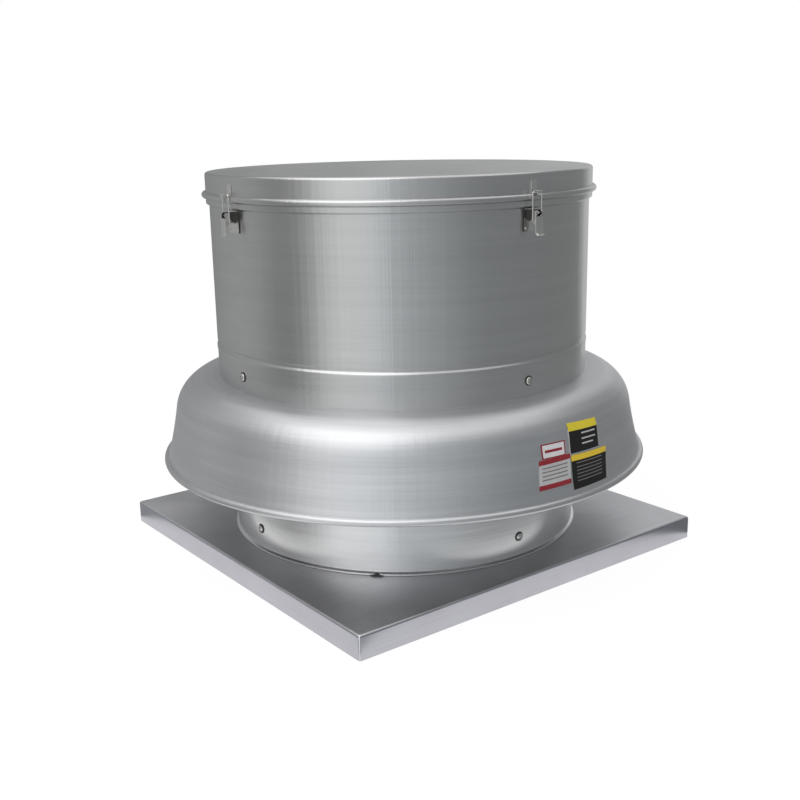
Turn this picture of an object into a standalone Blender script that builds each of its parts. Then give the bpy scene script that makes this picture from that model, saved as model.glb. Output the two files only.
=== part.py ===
"""Direct-driven centrifugal roof exhaust fan in spun aluminium.

Metres, +Z up. The origin is the centre of the square curb cap's lower edge. The fan's axis is the Z axis, the
sides of the curb cap lie along X and Y, and the four latches, neck screws and collar screws lie on those axes.
Air comes up through the curb and the inlet cone, leaves the wheel sideways and falls between hood and collar.
"""

import bmesh
import bpy
from math import acos, asin, cos, hypot, pi, radians, sin, sqrt, tan
from mathutils import Matrix, Vector

# General
GAP = 0.0003                    # between pieces that touch
CUT = 0.010                     # how far a cutter runs past what it cuts
SKIN = 0.0001                   # keeps two faces of one union from lying in one plane
SHELL_SEGMENTS = 36             # facets round the big shells
CAP_SEGMENTS = 32               # points round the square cap, one of them on each corner
WHEEL_SEGMENTS = 28             # facets round the wheel and the inlet
MOTOR_SEGMENTS = 18             # facets round the motor's turned parts
BEARING_SEGMENTS = 12           # facets round a bearing
SCREW_SEGMENTS = 8              # facets round a screw
HEX_SIDES = 6

# Curb cap
CAP_MARGIN = 0.0523             # from the collar out to the side of the square
CAP_HEIGHT = 0.0345             # height of the turned-down flange
CAP_SHEET = 0.002
CAP_BEND = 0.004                # outer radius of the bend along each edge
CAP_HOLE_INSET = 0.006          # the hole's edge inside the mouth of the inlet cone

# Collar
COLLAR_INSET = 0.0163           # the collar's face inside the drum's
COLLAR_SHEET = 0.002
COLLAR_TOP = 0.128
COLLAR_FOOT_WIDTH = 0.004       # how far the foot bead stands out
COLLAR_FOOT_HEIGHT = 0.005
COLLAR_SCREW_HEIGHT = 0.0675

# Inlet cone
CONE_SHEET = 0.0015
CONE_FLANGE_CLEARANCE = 0.0114  # from its flange to the feet of the legs
CONE_BELL_WIDTH = 0.046         # from the throat out to the mouth
CONE_THROAT_LENGTH = 0.0122     # upright part above the bell
CONE_OVERLAP = 0.008            # how far it reaches up into the wheel
EYE_CLEARANCE = 0.004           # between the throat and the wheel's lip

# Drum, with the hem that the lid rests on and the groove above the neck screws
DRUM_RADIUS = 0.284
DRUM_SHEET = 0.0015
DRUM_RISE = 0.0156              # its lower edge above the motor plate's underside
DRUM_HEIGHT = 0.2904
HEM_DROP = 0.0245               # the hem's top below the drum's top
HEM_HEIGHT = 0.010
HEM_DEPTH = 0.0045
HEM_ROUND = 0.002
GROOVE_RISE = 0.0292            # middle of the groove above the neck screws
GROOVE_DEPTH = 0.0018
GROOVE_FLAT = 0.0025
GROOVE_SLOPE = 0.003
RIB_WIDTH = 0.004               # the raised rib right below the groove
RIB_PROUD = 0.0008
RIB_SLOPE = 0.002
NECK_SCREW_RISE = 0.0224        # above the drum's lower edge

# Lid
LID_CLEARANCE = 0.0045          # the lid's face outside the drum's
LID_SHEET = 0.0015
LID_RISE = 0.012                # above the drum's top
LID_EDGE_ROUND = 0.004
LID_EDGE_STEPS = 2
LID_BEAD_RADIUS = 0.0045
LID_BEAD_OUT = 0.006            # how far the bead stands out from the lid's side
LID_BEAD_END = radians(-162.5)  # the bead is rolled outwards, down and in to here
LID_BEAD_STEPS = 5

# Hood
HOOD_SHEET = 0.0015
NECK_EDGE = 0.012               # neck above its screws
SHOULDER_RADIUS = 0.054
SHOULDER_SLOPE = radians(2.0)
FLARE_ANGLE = radians(9.0)      # from vertical, where the round ends
SHOULDER_STEPS = 6
FLARE_STEPS = 2
SKIRT_REACH = 0.0187            # from the end of the round out to the bead's centre
RIM_OVERHANG = 0.0914           # from the drum's face out to the rim
HOOD_DEPTH = 0.126              # from the drum's lower edge down to the bead's centre
RIM_BEAD_RADIUS = 0.0048
RIM_SEAT = radians(114.0)       # where the skirt meets its bead
RIM_ROLL_START = radians(80.0)
RIM_ROLL_END = radians(-180.0)
RIM_ROLL_STEPS = 5

# Motor plate and the legs that carry it
PLATE_SHEET = 0.003
PLATE_BOTTOM = 0.262            # carries the motor, the wheel, the hood and the drum
PLATE_EDGE = 0.009              # its rim above the neck screws
PLATE_SEAT = 0.005              # its hole inside the bore of the motor's frame
LEG_WIDTH = 0.030
LEG_SHEET = 0.003
LEG_FOOT = 0.038                # length of the turned-in foot at each end of a leg

# Screws round the collar and the neck
SCREW_HEAD_RADIUS = 0.0055
SCREW_HEAD_HEIGHT = 0.0032
SCREW_HEAD_RIM = 0.0011         # height of the head's upright rim
SCREW_CROWN_RADIUS = 0.0033
SCREW_CROWN_DROP = 0.0005       # from the top of the head down to the crown's edge
SCREW_SHANK_RADIUS = 0.0024
SCREW_REACH = 0.004             # past the last sheet

# Fan wheel
WHEEL_MARGIN = 0.0627           # from the wheel's rim out to the collar's face
WHEEL_SHEET = 0.002
WHEEL_WIDTH = 0.108             # from the shroud's lip up to the back plate
SHROUD_WIDTH = 0.059            # from the lip out to the rim
SHROUD_LIP_HEIGHT = 0.012
SHROUD_RISE = 0.030
SHROUD_STEPS = 5
SHROUD_FOOT_GAP = 0.0006       # under a blade, where the shroud curves away from its straight edge
BACK_PLATE_DROP = 0.030         # below the motor plate's underside
BACK_PLATE_SHEET = 0.003
BLADE_COUNT = 7
BLADE_SHEET = 0.003
BLADE_EYE_REACH = 0.012         # how far a blade reaches in over the eye
BLADE_FOOT_START = 0.008        # outside the eye; further in, the lower edge runs level
BLADE_TIP_INSET = 0.003         # from the rim of the wheel to the blade's tip
BLADE_IN_ANGLE = radians(24.0)  # between blade and circle at the inner end
BLADE_OUT_ANGLE = radians(38.0)
BLADE_STATIONS = 9

# Hub and wheel bolt
HUB_FLANGE_RADIUS = 0.042
HUB_FLANGE_SHEET = 0.006
HUB_BOSS_RADIUS = 0.022
HUB_BOSS_LENGTH = 0.025         # below the back plate's underside
WHEEL_WASHER_RADIUS = 0.018
WHEEL_WASHER_SHEET = 0.003
WHEEL_BOLT_HEAD_RADIUS = 0.0085
WHEEL_BOLT_HEAD_HEIGHT = 0.006
WHEEL_BOLT_SHANK_RADIUS = 0.004
WHEEL_BOLT_REACH = 0.016
WHEEL_BOLT_FREE = 0.002         # hole left past the bolt's end

# Motor
SHAFT_RADIUS = 0.012
SEAT_STEP = 0.0005              # the bearing seats outside the shaft's face
TAIL_STEP = 0.0025              # the tail under the cooling fan inside it
ROTOR_CORE_RADIUS = 0.045
SHAFT_PASSAGE = 0.001           # round the shaft where it leaves the motor
SEAT_RUNOUT = 0.001             # bearing seat past the bearing's face
SHAFT_TAIL_PROUD = 0.002        # shaft past the cooling fan
AIR_GAP = 0.0005
CORE_LENGTH = 0.090
FRAME_BORE = 0.070
FRAME_WALL = 0.008
FRAME_ROOM = 0.015              # frame past each end of the core
FIN_COUNT = 20
FIN_HEIGHT = 0.008
FIN_SHARE = 0.32                # of the pitch that a fin's root takes
FIN_TAPER = 0.7                 # tip of a fin, as a share of its root
FLANGE_WIDTH = 0.027            # outside the frame
FLANGE_SHEET = 0.011
SPIGOT_DEPTH = 0.004
SHIELD_HEIGHT = 0.025           # from the motor plate to the frame
SHIELD_WALL = 0.006
BEARING_RADIUS = 0.026
BEARING_WIDTH = 0.015
BEARING_RACE = 0.003            # thickness of the outer race
BEARING_STEP = 0.0008           # from the race's face back to the seal
BEARING_HOUSING_WALL = 0.005
END_SHIELD_SHEET = 0.006
WINDING_LENGTH = 0.011
WINDING_INSET = 0.004
COWL_SHEET = 0.0015
COWL_EDGE_ROUND = 0.004
COWL_TOP_GAP = 0.012            # free height over the cooling fan
COWL_SLOTS = 8
COWL_SLOT_WIDTH = 0.010
COWL_SLOT_START = 0.016         # from the axis
COWL_SLOT_MARGIN = 0.010        # from a slot's outer end to the cowl's wall
COOLING_FAN_RADIUS = 0.062
COOLING_FAN_HEIGHT = 0.018
COOLING_FAN_BLADES = 6
COOLING_FAN_BLADE = 0.003
COOLING_FAN_HUB = 0.017
COOLING_FAN_CLEARANCE = 0.003   # over the end shield
BOX_SIZE = (0.048, 0.086, 0.070)     # terminal box: away from the motor, across, high
BOX_ROUND = 0.006
GLAND_RADIUS = 0.011
GLAND_LENGTH = 0.018
GLAND_ROOT = 0.004              # how far the gland reaches up into the box
MOTOR_BOLT_INSET = 0.013        # from the flange's edge
MOTOR_BOLT_RADIUS = 0.004
MOTOR_BOLT_HEAD_RADIUS = 0.0075
MOTOR_BOLT_HEAD_HEIGHT = 0.006
MOTOR_NUT_HEIGHT = 0.006
MOTOR_BOLT_END = 0.002          # thread below the nut

# Toggle latches
LATCH_PLATE_WIDTH = 0.026
LATCH_PLATE_HEIGHT = 0.030
LATCH_SHEET = 0.0014
LATCH_PIVOT_DROP = 0.0155       # from the hem's top down to the lever's pivot
LATCH_PIN_RADIUS = 0.0014
EAR_OFFSET = 0.0034             # from the latch's middle to an ear's inner face
EAR_ROUND = 0.0036              # round the pivot
EAR_FOOT = 0.0126               # below the pivot, where an ear meets the plate
CHEEK_CLEARANCE = 0.0004
LEVER_LENGTH = 0.029            # from the pivot to the tip
LEVER_WEB_START = 0.0045        # below the pivot
LEVER_WEB_OFFSET = 0.0018       # from the pivot out to the web's inner face
LEVER_CURL = 0.003
CHEEK_ROUND = 0.0034
CHEEK_EYE_ROUND = 0.0028        # round the bail's end
CHEEK_LAP = 0.001               # below the top of the web
CHEEK_FOOT = 0.0068             # below the bail's end
WIRE_RADIUS = 0.0010
WIRE_CLEARANCE = 0.0005         # from the lid's bead to the wire
WIRE_SIDES = 6
WIRE_PIVOT_RADIUS = 0.010       # from the lever's pivot to the bail's
WIRE_PIVOT_ANGLE = radians(-100.0)
WIRE_BEND = 0.003
HOOK_WIDTH = 0.010
HOOK_PLATE_HEIGHT = 0.016
HOOK_LIP_HEIGHT = 0.0022
HOOK_THROAT = 0.0032            # free width outside the wire, for the bail's way out

# Places that follow from the sizes above
FACET = cos(pi / SHELL_SEGMENTS)             # middle of a facet, as a share of the radius
DECK = CAP_HEIGHT + GAP                      # what stands on the curb cap
COLLAR_RADIUS = DRUM_RADIUS - COLLAR_INSET
CAP_HALF = COLLAR_RADIUS + CAP_MARGIN
DRUM_BOTTOM = PLATE_BOTTOM + DRUM_RISE
DRUM_TOP = DRUM_BOTTOM + DRUM_HEIGHT
HEM_TOP = DRUM_TOP - HEM_DROP
LID_RADIUS = DRUM_RADIUS + LID_CLEARANCE
LID_TOP = DRUM_TOP + LID_RISE
NECK_SCREW_HEIGHT = DRUM_BOTTOM + NECK_SCREW_RISE
NECK_TOP = NECK_SCREW_HEIGHT + NECK_EDGE
PLATE_RIM_TOP = NECK_SCREW_HEIGHT + PLATE_EDGE
RIM_RADIUS = DRUM_RADIUS + RIM_OVERHANG
RIM_HEIGHT = DRUM_BOTTOM - HOOD_DEPTH
NECK_RADIUS = DRUM_RADIUS - DRUM_SHEET - GAP
PLATE_RADIUS = NECK_RADIUS - HOOD_SHEET - GAP
PLATE_TOP = PLATE_BOTTOM + PLATE_SHEET
LEG_FACE = (COLLAR_RADIUS - COLLAR_SHEET) * FACET - GAP
LEG_TIP = LEG_FACE - LEG_FOOT
WHEEL_RADIUS = COLLAR_RADIUS - WHEEL_MARGIN
EYE_RADIUS = WHEEL_RADIUS - SHROUD_WIDTH     # outside of the shroud's lip
BACK_PLATE_BOTTOM = PLATE_BOTTOM - BACK_PLATE_DROP
SHROUD_LIP_BOTTOM = BACK_PLATE_BOTTOM - WHEEL_WIDTH
BLADE_INNER_RADIUS = EYE_RADIUS - BLADE_EYE_REACH
BLADE_FOOT_RADIUS = EYE_RADIUS + BLADE_FOOT_START
CONE_THROAT_RADIUS = EYE_RADIUS - WHEEL_SHEET - EYE_CLEARANCE
CONE_MOUTH_RADIUS = CONE_THROAT_RADIUS + CONE_BELL_WIDTH
CONE_FLANGE_RADIUS = LEG_TIP - CONE_FLANGE_CLEARANCE
CONE_TOP = SHROUD_LIP_BOTTOM + CONE_OVERLAP
CONE_BELL_HEIGHT = CONE_TOP - CONE_THROAT_LENGTH - DECK
CAP_HOLE_RADIUS = CONE_MOUTH_RADIUS - CAP_HOLE_INSET
HEM_BOTTOM = HEM_TOP - HEM_HEIGHT
HEM_RADIUS = DRUM_RADIUS + HEM_DEPTH
LID_BEAD_CENTRE = LID_RADIUS + LID_BEAD_OUT - LID_BEAD_RADIUS
LID_BEAD_DROP = sqrt(LID_BEAD_RADIUS ** 2 - (LID_BEAD_CENTRE - HEM_RADIUS) ** 2)
LID_BEAD_HEIGHT = HEM_TOP + GAP + LID_BEAD_DROP
BLADE_TOP = BACK_PLATE_BOTTOM - GAP
HUB_BOTTOM = BACK_PLATE_BOTTOM - HUB_BOSS_LENGTH
HUB_FLANGE_BOTTOM = BACK_PLATE_BOTTOM + BACK_PLATE_SHEET + GAP
SHAFT_SEAT_RADIUS = SHAFT_RADIUS + SEAT_STEP
SHAFT_TAIL_RADIUS = SHAFT_RADIUS - TAIL_STEP
MOTOR_BASE = PLATE_TOP + GAP
FRAME_RADIUS = FRAME_BORE + FRAME_WALL
FRAME_BOTTOM = MOTOR_BASE + SHIELD_HEIGHT + GAP
CORE_BOTTOM = FRAME_BOTTOM + FRAME_ROOM
CORE_TOP = CORE_BOTTOM + CORE_LENGTH
FRAME_TOP = CORE_TOP + FRAME_ROOM
FLANGE_RADIUS = FRAME_RADIUS + FLANGE_WIDTH
MOTOR_BOLT_CIRCLE = FLANGE_RADIUS - MOTOR_BOLT_INSET
PLATE_HOLE_RADIUS = FRAME_BORE - PLATE_SEAT
BEARING_DRIVE_BOTTOM = MOTOR_BASE + SHIELD_WALL + GAP
BEARING_FAN_BOTTOM = FRAME_TOP - BEARING_HOUSING_WALL
END_SHIELD_TOP = FRAME_TOP + GAP + END_SHIELD_SHEET
HOUSING_TOP = BEARING_FAN_BOTTOM + BEARING_WIDTH + GAP + BEARING_HOUSING_WALL
COOLING_FAN_BOTTOM = HOUSING_TOP + COOLING_FAN_CLEARANCE
SHAFT_TOP = COOLING_FAN_BOTTOM + COOLING_FAN_HEIGHT + SHAFT_TAIL_PROUD
COWL_TOP = SHAFT_TOP + COWL_TOP_GAP
FIN_RADIUS = FRAME_RADIUS + FIN_HEIGHT
LATCH_FACE = DRUM_RADIUS * FACET + GAP
PIVOT_HEIGHT = HEM_TOP - LATCH_PIVOT_DROP
WIRE_X = LID_RADIUS + LID_BEAD_OUT + WIRE_CLEARANCE + WIRE_RADIUS
PIVOT_X = WIRE_X - WIRE_PIVOT_RADIUS * cos(WIRE_PIVOT_ANGLE)
WIRE_PIVOT_HEIGHT = PIVOT_HEIGHT + WIRE_PIVOT_RADIUS * sin(WIRE_PIVOT_ANGLE)
EAR_OUTSIDE = EAR_OFFSET + LATCH_SHEET
CHEEK_INSIDE = EAR_OUTSIDE + CHEEK_CLEARANCE
CHEEK_OUTSIDE = CHEEK_INSIDE + LATCH_SHEET
WIRE_Y = CHEEK_OUTSIDE + CHEEK_CLEARANCE + WIRE_RADIUS
HOOK_SEAT = LID_BEAD_HEIGHT + LID_BEAD_RADIUS + GAP + LATCH_SHEET
WIRE_TOP = HOOK_SEAT + GAP + WIRE_RADIUS
HOOK_FACE = LID_RADIUS * FACET + GAP
QUARTERS = [0.0, pi / 2, pi, 3 * pi / 2]


# Materials

def material(name, colour, roughness, metallic):
    """A Principled material of one colour."""
    made = bpy.data.materials.new(name)
    made.use_nodes = True
    shader = made.node_tree.nodes["Principled BSDF"]
    shader.inputs["Base Color"].default_value = (*colour, 1.0)
    shader.inputs["Roughness"].default_value = roughness
    shader.inputs["Metallic"].default_value = metallic
    return made


# Meshes from rings, outlines and sweeps

def closed_mesh(name, vertices, faces):
    """A mesh with its faces turned outwards, smooth but for its real edges."""
    mesh = bpy.data.meshes.new(name)
    body = bmesh.new()
    points = [body.verts.new(v) for v in vertices]
    for face in faces:
        body.faces.new([points[i] for i in face])
    bmesh.ops.remove_doubles(body, verts=body.verts, dist=1e-6)
    bmesh.ops.recalc_face_normals(body, faces=body.faces)
    if body.calc_volume(signed=True) < 0:
        bmesh.ops.reverse_faces(body, faces=body.faces)
    body.to_mesh(mesh)
    body.free()
    mesh.shade_smooth()
    mesh.set_sharp_from_angle(angle=radians(30.0))
    return mesh


def ring_mesh(name, rings):
    """A closed body through rings of equal count, the last joined back to the first.

    A ring of one point is a pole, and then the run of rings ends there instead.
    """
    vertices = []
    starts = []
    for ring in rings:
        starts.append(len(vertices))
        vertices.extend(ring)
    count = max(len(ring) for ring in rings)
    has_poles = len(rings[0]) == 1
    pairs = [(k, k + 1) for k in range(len(rings) - 1)]
    if not has_poles:
        pairs.append((len(rings) - 1, 0))
    faces = []
    for a, b in pairs:
        for i in range(count):
            j = (i + 1) % count
            lower = [starts[a]] if len(rings[a]) == 1 else [starts[a] + i, starts[a] + j]
            upper = [starts[b]] if len(rings[b]) == 1 else [starts[b] + j, starts[b] + i]
            faces.append(lower + upper)
    return closed_mesh(name, vertices, faces)


def circle(radius, height, segments):
    """One ring about Z whose facets face +X, +Y, -X and -Y squarely."""
    if radius < 1e-9:
        return [(0.0, 0.0, height)]
    step = 2 * pi / segments
    angles = [(i + 0.5) * step for i in range(segments)]
    return [(radius * cos(a), radius * sin(a), height) for a in angles]


def square(half, height, segments):
    """One ring on a square, with a point on each corner."""
    ring = []
    for i in range(segments):
        angle = 2 * pi * i / segments
        reach = half / max(abs(cos(angle)), abs(sin(angle)))
        ring.append((reach * cos(angle), reach * sin(angle), height))
    return ring


def turned(name, profile, segments):
    """A body turned about Z from a closed profile of (radius, height)."""
    return ring_mesh(name, [circle(r, z, segments) for r, z in profile])


def arc(centre, radius, start, end, steps):
    """Points on a circle from one angle to another, both ends included."""
    points = []
    for k in range(steps + 1):
        angle = start + (end - start) * k / steps
        points.append((centre[0] + radius * cos(angle), centre[1] + radius * sin(angle)))
    return points


def inner_side(path, sheet):
    """The other face of a sheet whose outer face runs along path from top to bottom."""
    points = []
    for k, (r, z) in enumerate(path):
        before = path[max(k - 1, 0)]
        after = path[min(k + 1, len(path) - 1)]
        first = Vector((r - before[0], z - before[1]))
        second = Vector((after[0] - r, after[1] - z))
        if first.length < 1e-9:
            first = second
        if second.length < 1e-9:
            second = first
        first.normalize()
        second.normalize()
        middle = (first + second).normalized()
        normal = Vector((middle.y, -middle.x))
        reach = sheet / max(0.5, first.dot(middle))
        points.append((r + normal.x * reach, z + normal.y * reach))
    return points


def prism(name, outline, low, high, place):
    """A closed prism: outline points (a, b) go through place(a, b, c) at c = low and c = high."""
    vertices = [place(a, b, low) for a, b in outline] + [place(a, b, high) for a, b in outline]
    count = len(outline)
    faces = [list(range(count)), list(range(2 * count - 1, count - 1, -1))]
    for i in range(count):
        j = (i + 1) % count
        faces.append([i, j, count + j, count + i])
    return closed_mesh(name, vertices, faces)


def upright(a, b, c):
    """Outline in X and Y, extruded along Z."""
    return (a, b, c)


def sideways(a, b, c):
    """Outline in X and Z, extruded along Y."""
    return (a, c, b)


def box_mesh(name, low, high):
    """A plain box between two corners."""
    outline = [(low[0], low[1]), (high[0], low[1]), (high[0], high[1]), (low[0], high[1])]
    return prism(name, outline, low[2], high[2], upright)


def rod_mesh(name, radius, start, end, sides):
    """A straight rod between two points."""
    start = Vector(start)
    axis = Vector(end) - start
    turn = axis.to_track_quat("Z", "Y").to_matrix().to_4x4()
    frame = Matrix.Translation(start) @ turn
    outline = arc((0, 0), radius, pi / sides, 2 * pi + pi / sides, sides)[:-1]
    mesh = prism(name, outline, 0.0, axis.length, upright)
    mesh.transform(frame)
    return mesh


def wire_mesh(name, route, radius, sides):
    """A wire of round section along a route of points."""
    route = [Vector(p) for p in route]
    rings = []
    side = Vector((1.0, 0.0, 0.0))
    for k, point in enumerate(route):
        before = (point - route[k - 1]).normalized() if k > 0 else None
        after = (route[k + 1] - point).normalized() if k < len(route) - 1 else None
        tangent = ((before or after) + (after or before)).normalized()
        stretch = 1.0 / max(0.7, tangent.dot(after or before))
        side = (side - tangent * side.dot(tangent)).normalized()
        across = tangent.cross(side)
        ring = []
        for i in range(sides):
            angle = 2 * pi * i / sides
            reach = radius * stretch
            ring.append(point + side * radius * cos(angle) + across * reach * sin(angle))
        rings.append(ring)
    rings = [[tuple(p) for p in ring] for ring in rings]
    vertices = [p for ring in rings for p in ring]
    faces = [list(range(sides)), list(range(len(vertices) - 1, len(vertices) - sides - 1, -1))]
    for k in range(len(rings) - 1):
        for i in range(sides):
            j = (i + 1) % sides
            low = k * sides
            high = low + sides
            faces.append([low + i, low + j, high + j, high + i])
    return closed_mesh(name, vertices, faces)


# Objects

def show(name, mesh, finish, turn=0.0, parent=None):
    """One named object of the model, turned about Z."""
    made = bpy.data.objects.new(name, mesh)
    bpy.context.scene.collection.objects.link(made)
    if not mesh.materials:
        mesh.materials.append(finish)
    made.rotation_euler = (0.0, 0.0, turn)
    made.parent = parent
    return made


def combined(mesh, others, operation):
    """The mesh after a Boolean with each of the others in turn."""
    target = bpy.data.objects.new("work", mesh)
    bpy.context.scene.collection.objects.link(target)
    helpers = []
    for other in others:
        helper = bpy.data.objects.new("helper", other)
        bpy.context.scene.collection.objects.link(helper)
        helpers.append(helper)
        step = target.modifiers.new("step", "BOOLEAN")
        step.operation = operation
        step.object = helper
    graph = bpy.context.evaluated_depsgraph_get()
    result = bpy.data.meshes.new_from_object(target.evaluated_get(graph))
    result.name = mesh.name
    for used in [target, *helpers]:
        bpy.data.objects.remove(used)
    result.materials.clear()
    body = bmesh.new()
    body.from_mesh(result)
    bmesh.ops.remove_doubles(body, verts=body.verts, dist=1e-6)
    bmesh.ops.dissolve_degenerate(body, edges=body.edges, dist=1e-6)
    body.to_mesh(result)
    body.free()
    result.shade_smooth()
    result.set_sharp_from_angle(angle=radians(30.0))
    return result


def hole_radius(shank, sides=SCREW_SEGMENTS):
    """Corner radius of a faceted hole whose flats clear a shank."""
    return (shank + GAP) / cos(pi / sides)


def turned_copies(mesh, angles):
    """The same mesh turned about Z by each angle."""
    copies = []
    for angle in angles:
        copy = mesh.copy()
        copy.transform(Matrix.Rotation(angle, 4, "Z"))
        copies.append(copy)
    return copies


def radial_holes(mesh, radius, height, inner, outer):
    """Four round holes through a shell, on +X, +Y, -X and -Y."""
    cutter = rod_mesh("hole", radius, (inner, 0, height), (outer, 0, height), SCREW_SEGMENTS)
    return combined(mesh, turned_copies(cutter, QUARTERS), "DIFFERENCE")


# Shells

def curb_cap_mesh():
    """Square cap: flange, bend, top sheet and hole, then back along the inside."""
    count = CAP_SEGMENTS
    rings = [square(CAP_HALF, 0.0, count)]
    bend = arc((CAP_HALF - CAP_BEND, CAP_HEIGHT - CAP_BEND), CAP_BEND, 0.0, pi / 2, 3)
    rings += [square(r, z, count) for r, z in bend]
    hole = [(CAP_HOLE_RADIUS * cos(2 * pi * i / count), CAP_HOLE_RADIUS * sin(2 * pi * i / count))
            for i in range(count)]
    rings.append([(x, y, CAP_HEIGHT) for x, y in hole])
    rings.append([(x, y, CAP_HEIGHT - CAP_SHEET) for x, y in hole])
    inside = CAP_HALF - CAP_SHEET
    rings.append(square(inside - CAP_SHEET, CAP_HEIGHT - CAP_SHEET, count))
    rings.append(square(inside, CAP_HEIGHT - 2 * CAP_SHEET, count))
    rings.append(square(inside, 0.0, count))
    return ring_mesh("curb_cap", rings)


def collar_mesh():
    """Round upstand with a small foot bead, drilled for the leg screws."""
    foot = COLLAR_RADIUS + COLLAR_FOOT_WIDTH
    inside = COLLAR_RADIUS - COLLAR_SHEET
    profile = [
        (COLLAR_RADIUS, COLLAR_TOP),
        (COLLAR_RADIUS, DECK + COLLAR_FOOT_HEIGHT),
        (foot, DECK + COLLAR_FOOT_HEIGHT / 2),
        (foot, DECK),
        (inside, DECK),
        (inside, COLLAR_TOP),
    ]
    mesh = turned("collar", profile, SHELL_SEGMENTS)
    radius = hole_radius(SCREW_SHANK_RADIUS)
    return radial_holes(mesh, radius, COLLAR_SCREW_HEIGHT, inside - CUT, foot + CUT)


def bell(mouth, throat, bottom, rise, steps):
    """Quarter ellipse from the mouth at the bottom to the upright throat."""
    points = []
    for k in range(steps + 1):
        angle = pi / 2 * (1 - k / steps)
        points.append((mouth - (mouth - throat) * cos(angle), bottom + rise * (1 - sin(angle))))
    return points


def inlet_cone_mesh():
    """Spun inlet: flat flange on the cap, bell mouth and short upright throat."""
    lower = [(CONE_FLANGE_RADIUS, DECK)]
    lower += bell(CONE_MOUTH_RADIUS, CONE_THROAT_RADIUS - CONE_SHEET, DECK, CONE_BELL_HEIGHT, 4)
    lower.append((CONE_THROAT_RADIUS - CONE_SHEET, CONE_TOP))
    upper = inner_side(lower, CONE_SHEET)
    upper[0] = (CONE_FLANGE_RADIUS, DECK + CONE_SHEET)
    upper[-1] = (CONE_THROAT_RADIUS, CONE_TOP)
    return turned("inlet_cone", lower + upper[::-1], WHEEL_SEGMENTS)


def hood_path():
    """Outer face of the hood from the top of its neck down to its bead, and the bead's centre."""
    corner = (NECK_RADIUS, DRUM_BOTTOM - GAP)
    bead = (RIM_RADIUS - RIM_BEAD_RADIUS, RIM_HEIGHT)
    begin = pi / 2 - SHOULDER_SLOPE
    middle = bead[0] - SKIRT_REACH - SHOULDER_RADIUS * cos(FLARE_ANGLE)
    start = middle + SHOULDER_RADIUS * cos(begin)
    drop = (start - NECK_RADIUS) * sin(SHOULDER_SLOPE)
    centre = (middle, corner[1] - drop - SHOULDER_RADIUS * sin(begin))
    path = [(NECK_RADIUS, NECK_TOP), corner]
    path += arc(centre, SHOULDER_RADIUS, begin, FLARE_ANGLE, SHOULDER_STEPS)
    first = Vector(path[-1])
    end = Vector((bead[0] + RIM_BEAD_RADIUS * cos(RIM_SEAT), bead[1] + RIM_BEAD_RADIUS * sin(RIM_SEAT)))
    guide = first + Vector((sin(FLARE_ANGLE), -cos(FLARE_ANGLE))) * (end - first).length / 2
    for k in range(1, FLARE_STEPS + 1):
        share = k / FLARE_STEPS
        point = first * (1 - share) ** 2 + guide * 2 * share * (1 - share) + end * share ** 2
        path.append((point.x, point.y))
    return path, bead


def hood_mesh():
    """Spun dome: upturned neck, rounded shoulder, flared skirt and a bead rolled over a wire."""
    path, bead = hood_path()
    inside = inner_side(path, HOOD_SHEET)
    inside[0] = (NECK_RADIUS - HOOD_SHEET, NECK_TOP)
    # The inner face keeps the neck's corner and then every second point
    inside = inside[:3] + inside[4::2]
    roll = arc(bead, RIM_BEAD_RADIUS, RIM_ROLL_START, RIM_ROLL_END, RIM_ROLL_STEPS)
    mesh = turned("hood", path + roll + inside[::-1], SHELL_SEGMENTS)
    radius = hole_radius(SCREW_SHANK_RADIUS)
    return radial_holes(mesh, radius, NECK_SCREW_HEIGHT, PLATE_RADIUS - CUT, DRUM_RADIUS + CUT)


def drum_mesh():
    """Motor compartment shell: top edge, hem that carries the lid, groove, rib and foot."""
    groove = NECK_SCREW_HEIGHT + GROOVE_RISE
    low = DRUM_RADIUS - GROOVE_DEPTH
    inside = DRUM_RADIUS - DRUM_SHEET
    rib = DRUM_RADIUS + RIB_PROUD
    groove_top = groove + GROOVE_FLAT / 2
    groove_foot = groove - GROOVE_FLAT / 2
    rib_top = groove_foot - GROOVE_SLOPE
    profile = [
        (DRUM_RADIUS, DRUM_TOP),
        (DRUM_RADIUS, HEM_TOP),
        (HEM_RADIUS - HEM_ROUND, HEM_TOP),
        (HEM_RADIUS, HEM_TOP - HEM_ROUND),
        (HEM_RADIUS, HEM_BOTTOM + HEM_ROUND),
        (DRUM_RADIUS, HEM_BOTTOM),
        (DRUM_RADIUS, groove_top + GROOVE_SLOPE),
        (low, groove_top),
        (low, groove_foot),
        (rib, rib_top),
        (rib, rib_top - RIB_WIDTH),
        (DRUM_RADIUS, rib_top - RIB_WIDTH - RIB_SLOPE),
        (DRUM_RADIUS, DRUM_BOTTOM),
        (inside, DRUM_BOTTOM),
        (inside, rib_top),
        (low - DRUM_SHEET, groove_foot),
        (low - DRUM_SHEET, groove_top),
        (inside, groove_top + GROOVE_SLOPE),
        (inside, DRUM_TOP),
    ]
    mesh = turned("drum", profile, SHELL_SEGMENTS)
    radius = hole_radius(SCREW_SHANK_RADIUS)
    return radial_holes(mesh, radius, NECK_SCREW_HEIGHT, PLATE_RADIUS - CUT, DRUM_RADIUS + CUT)


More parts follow.
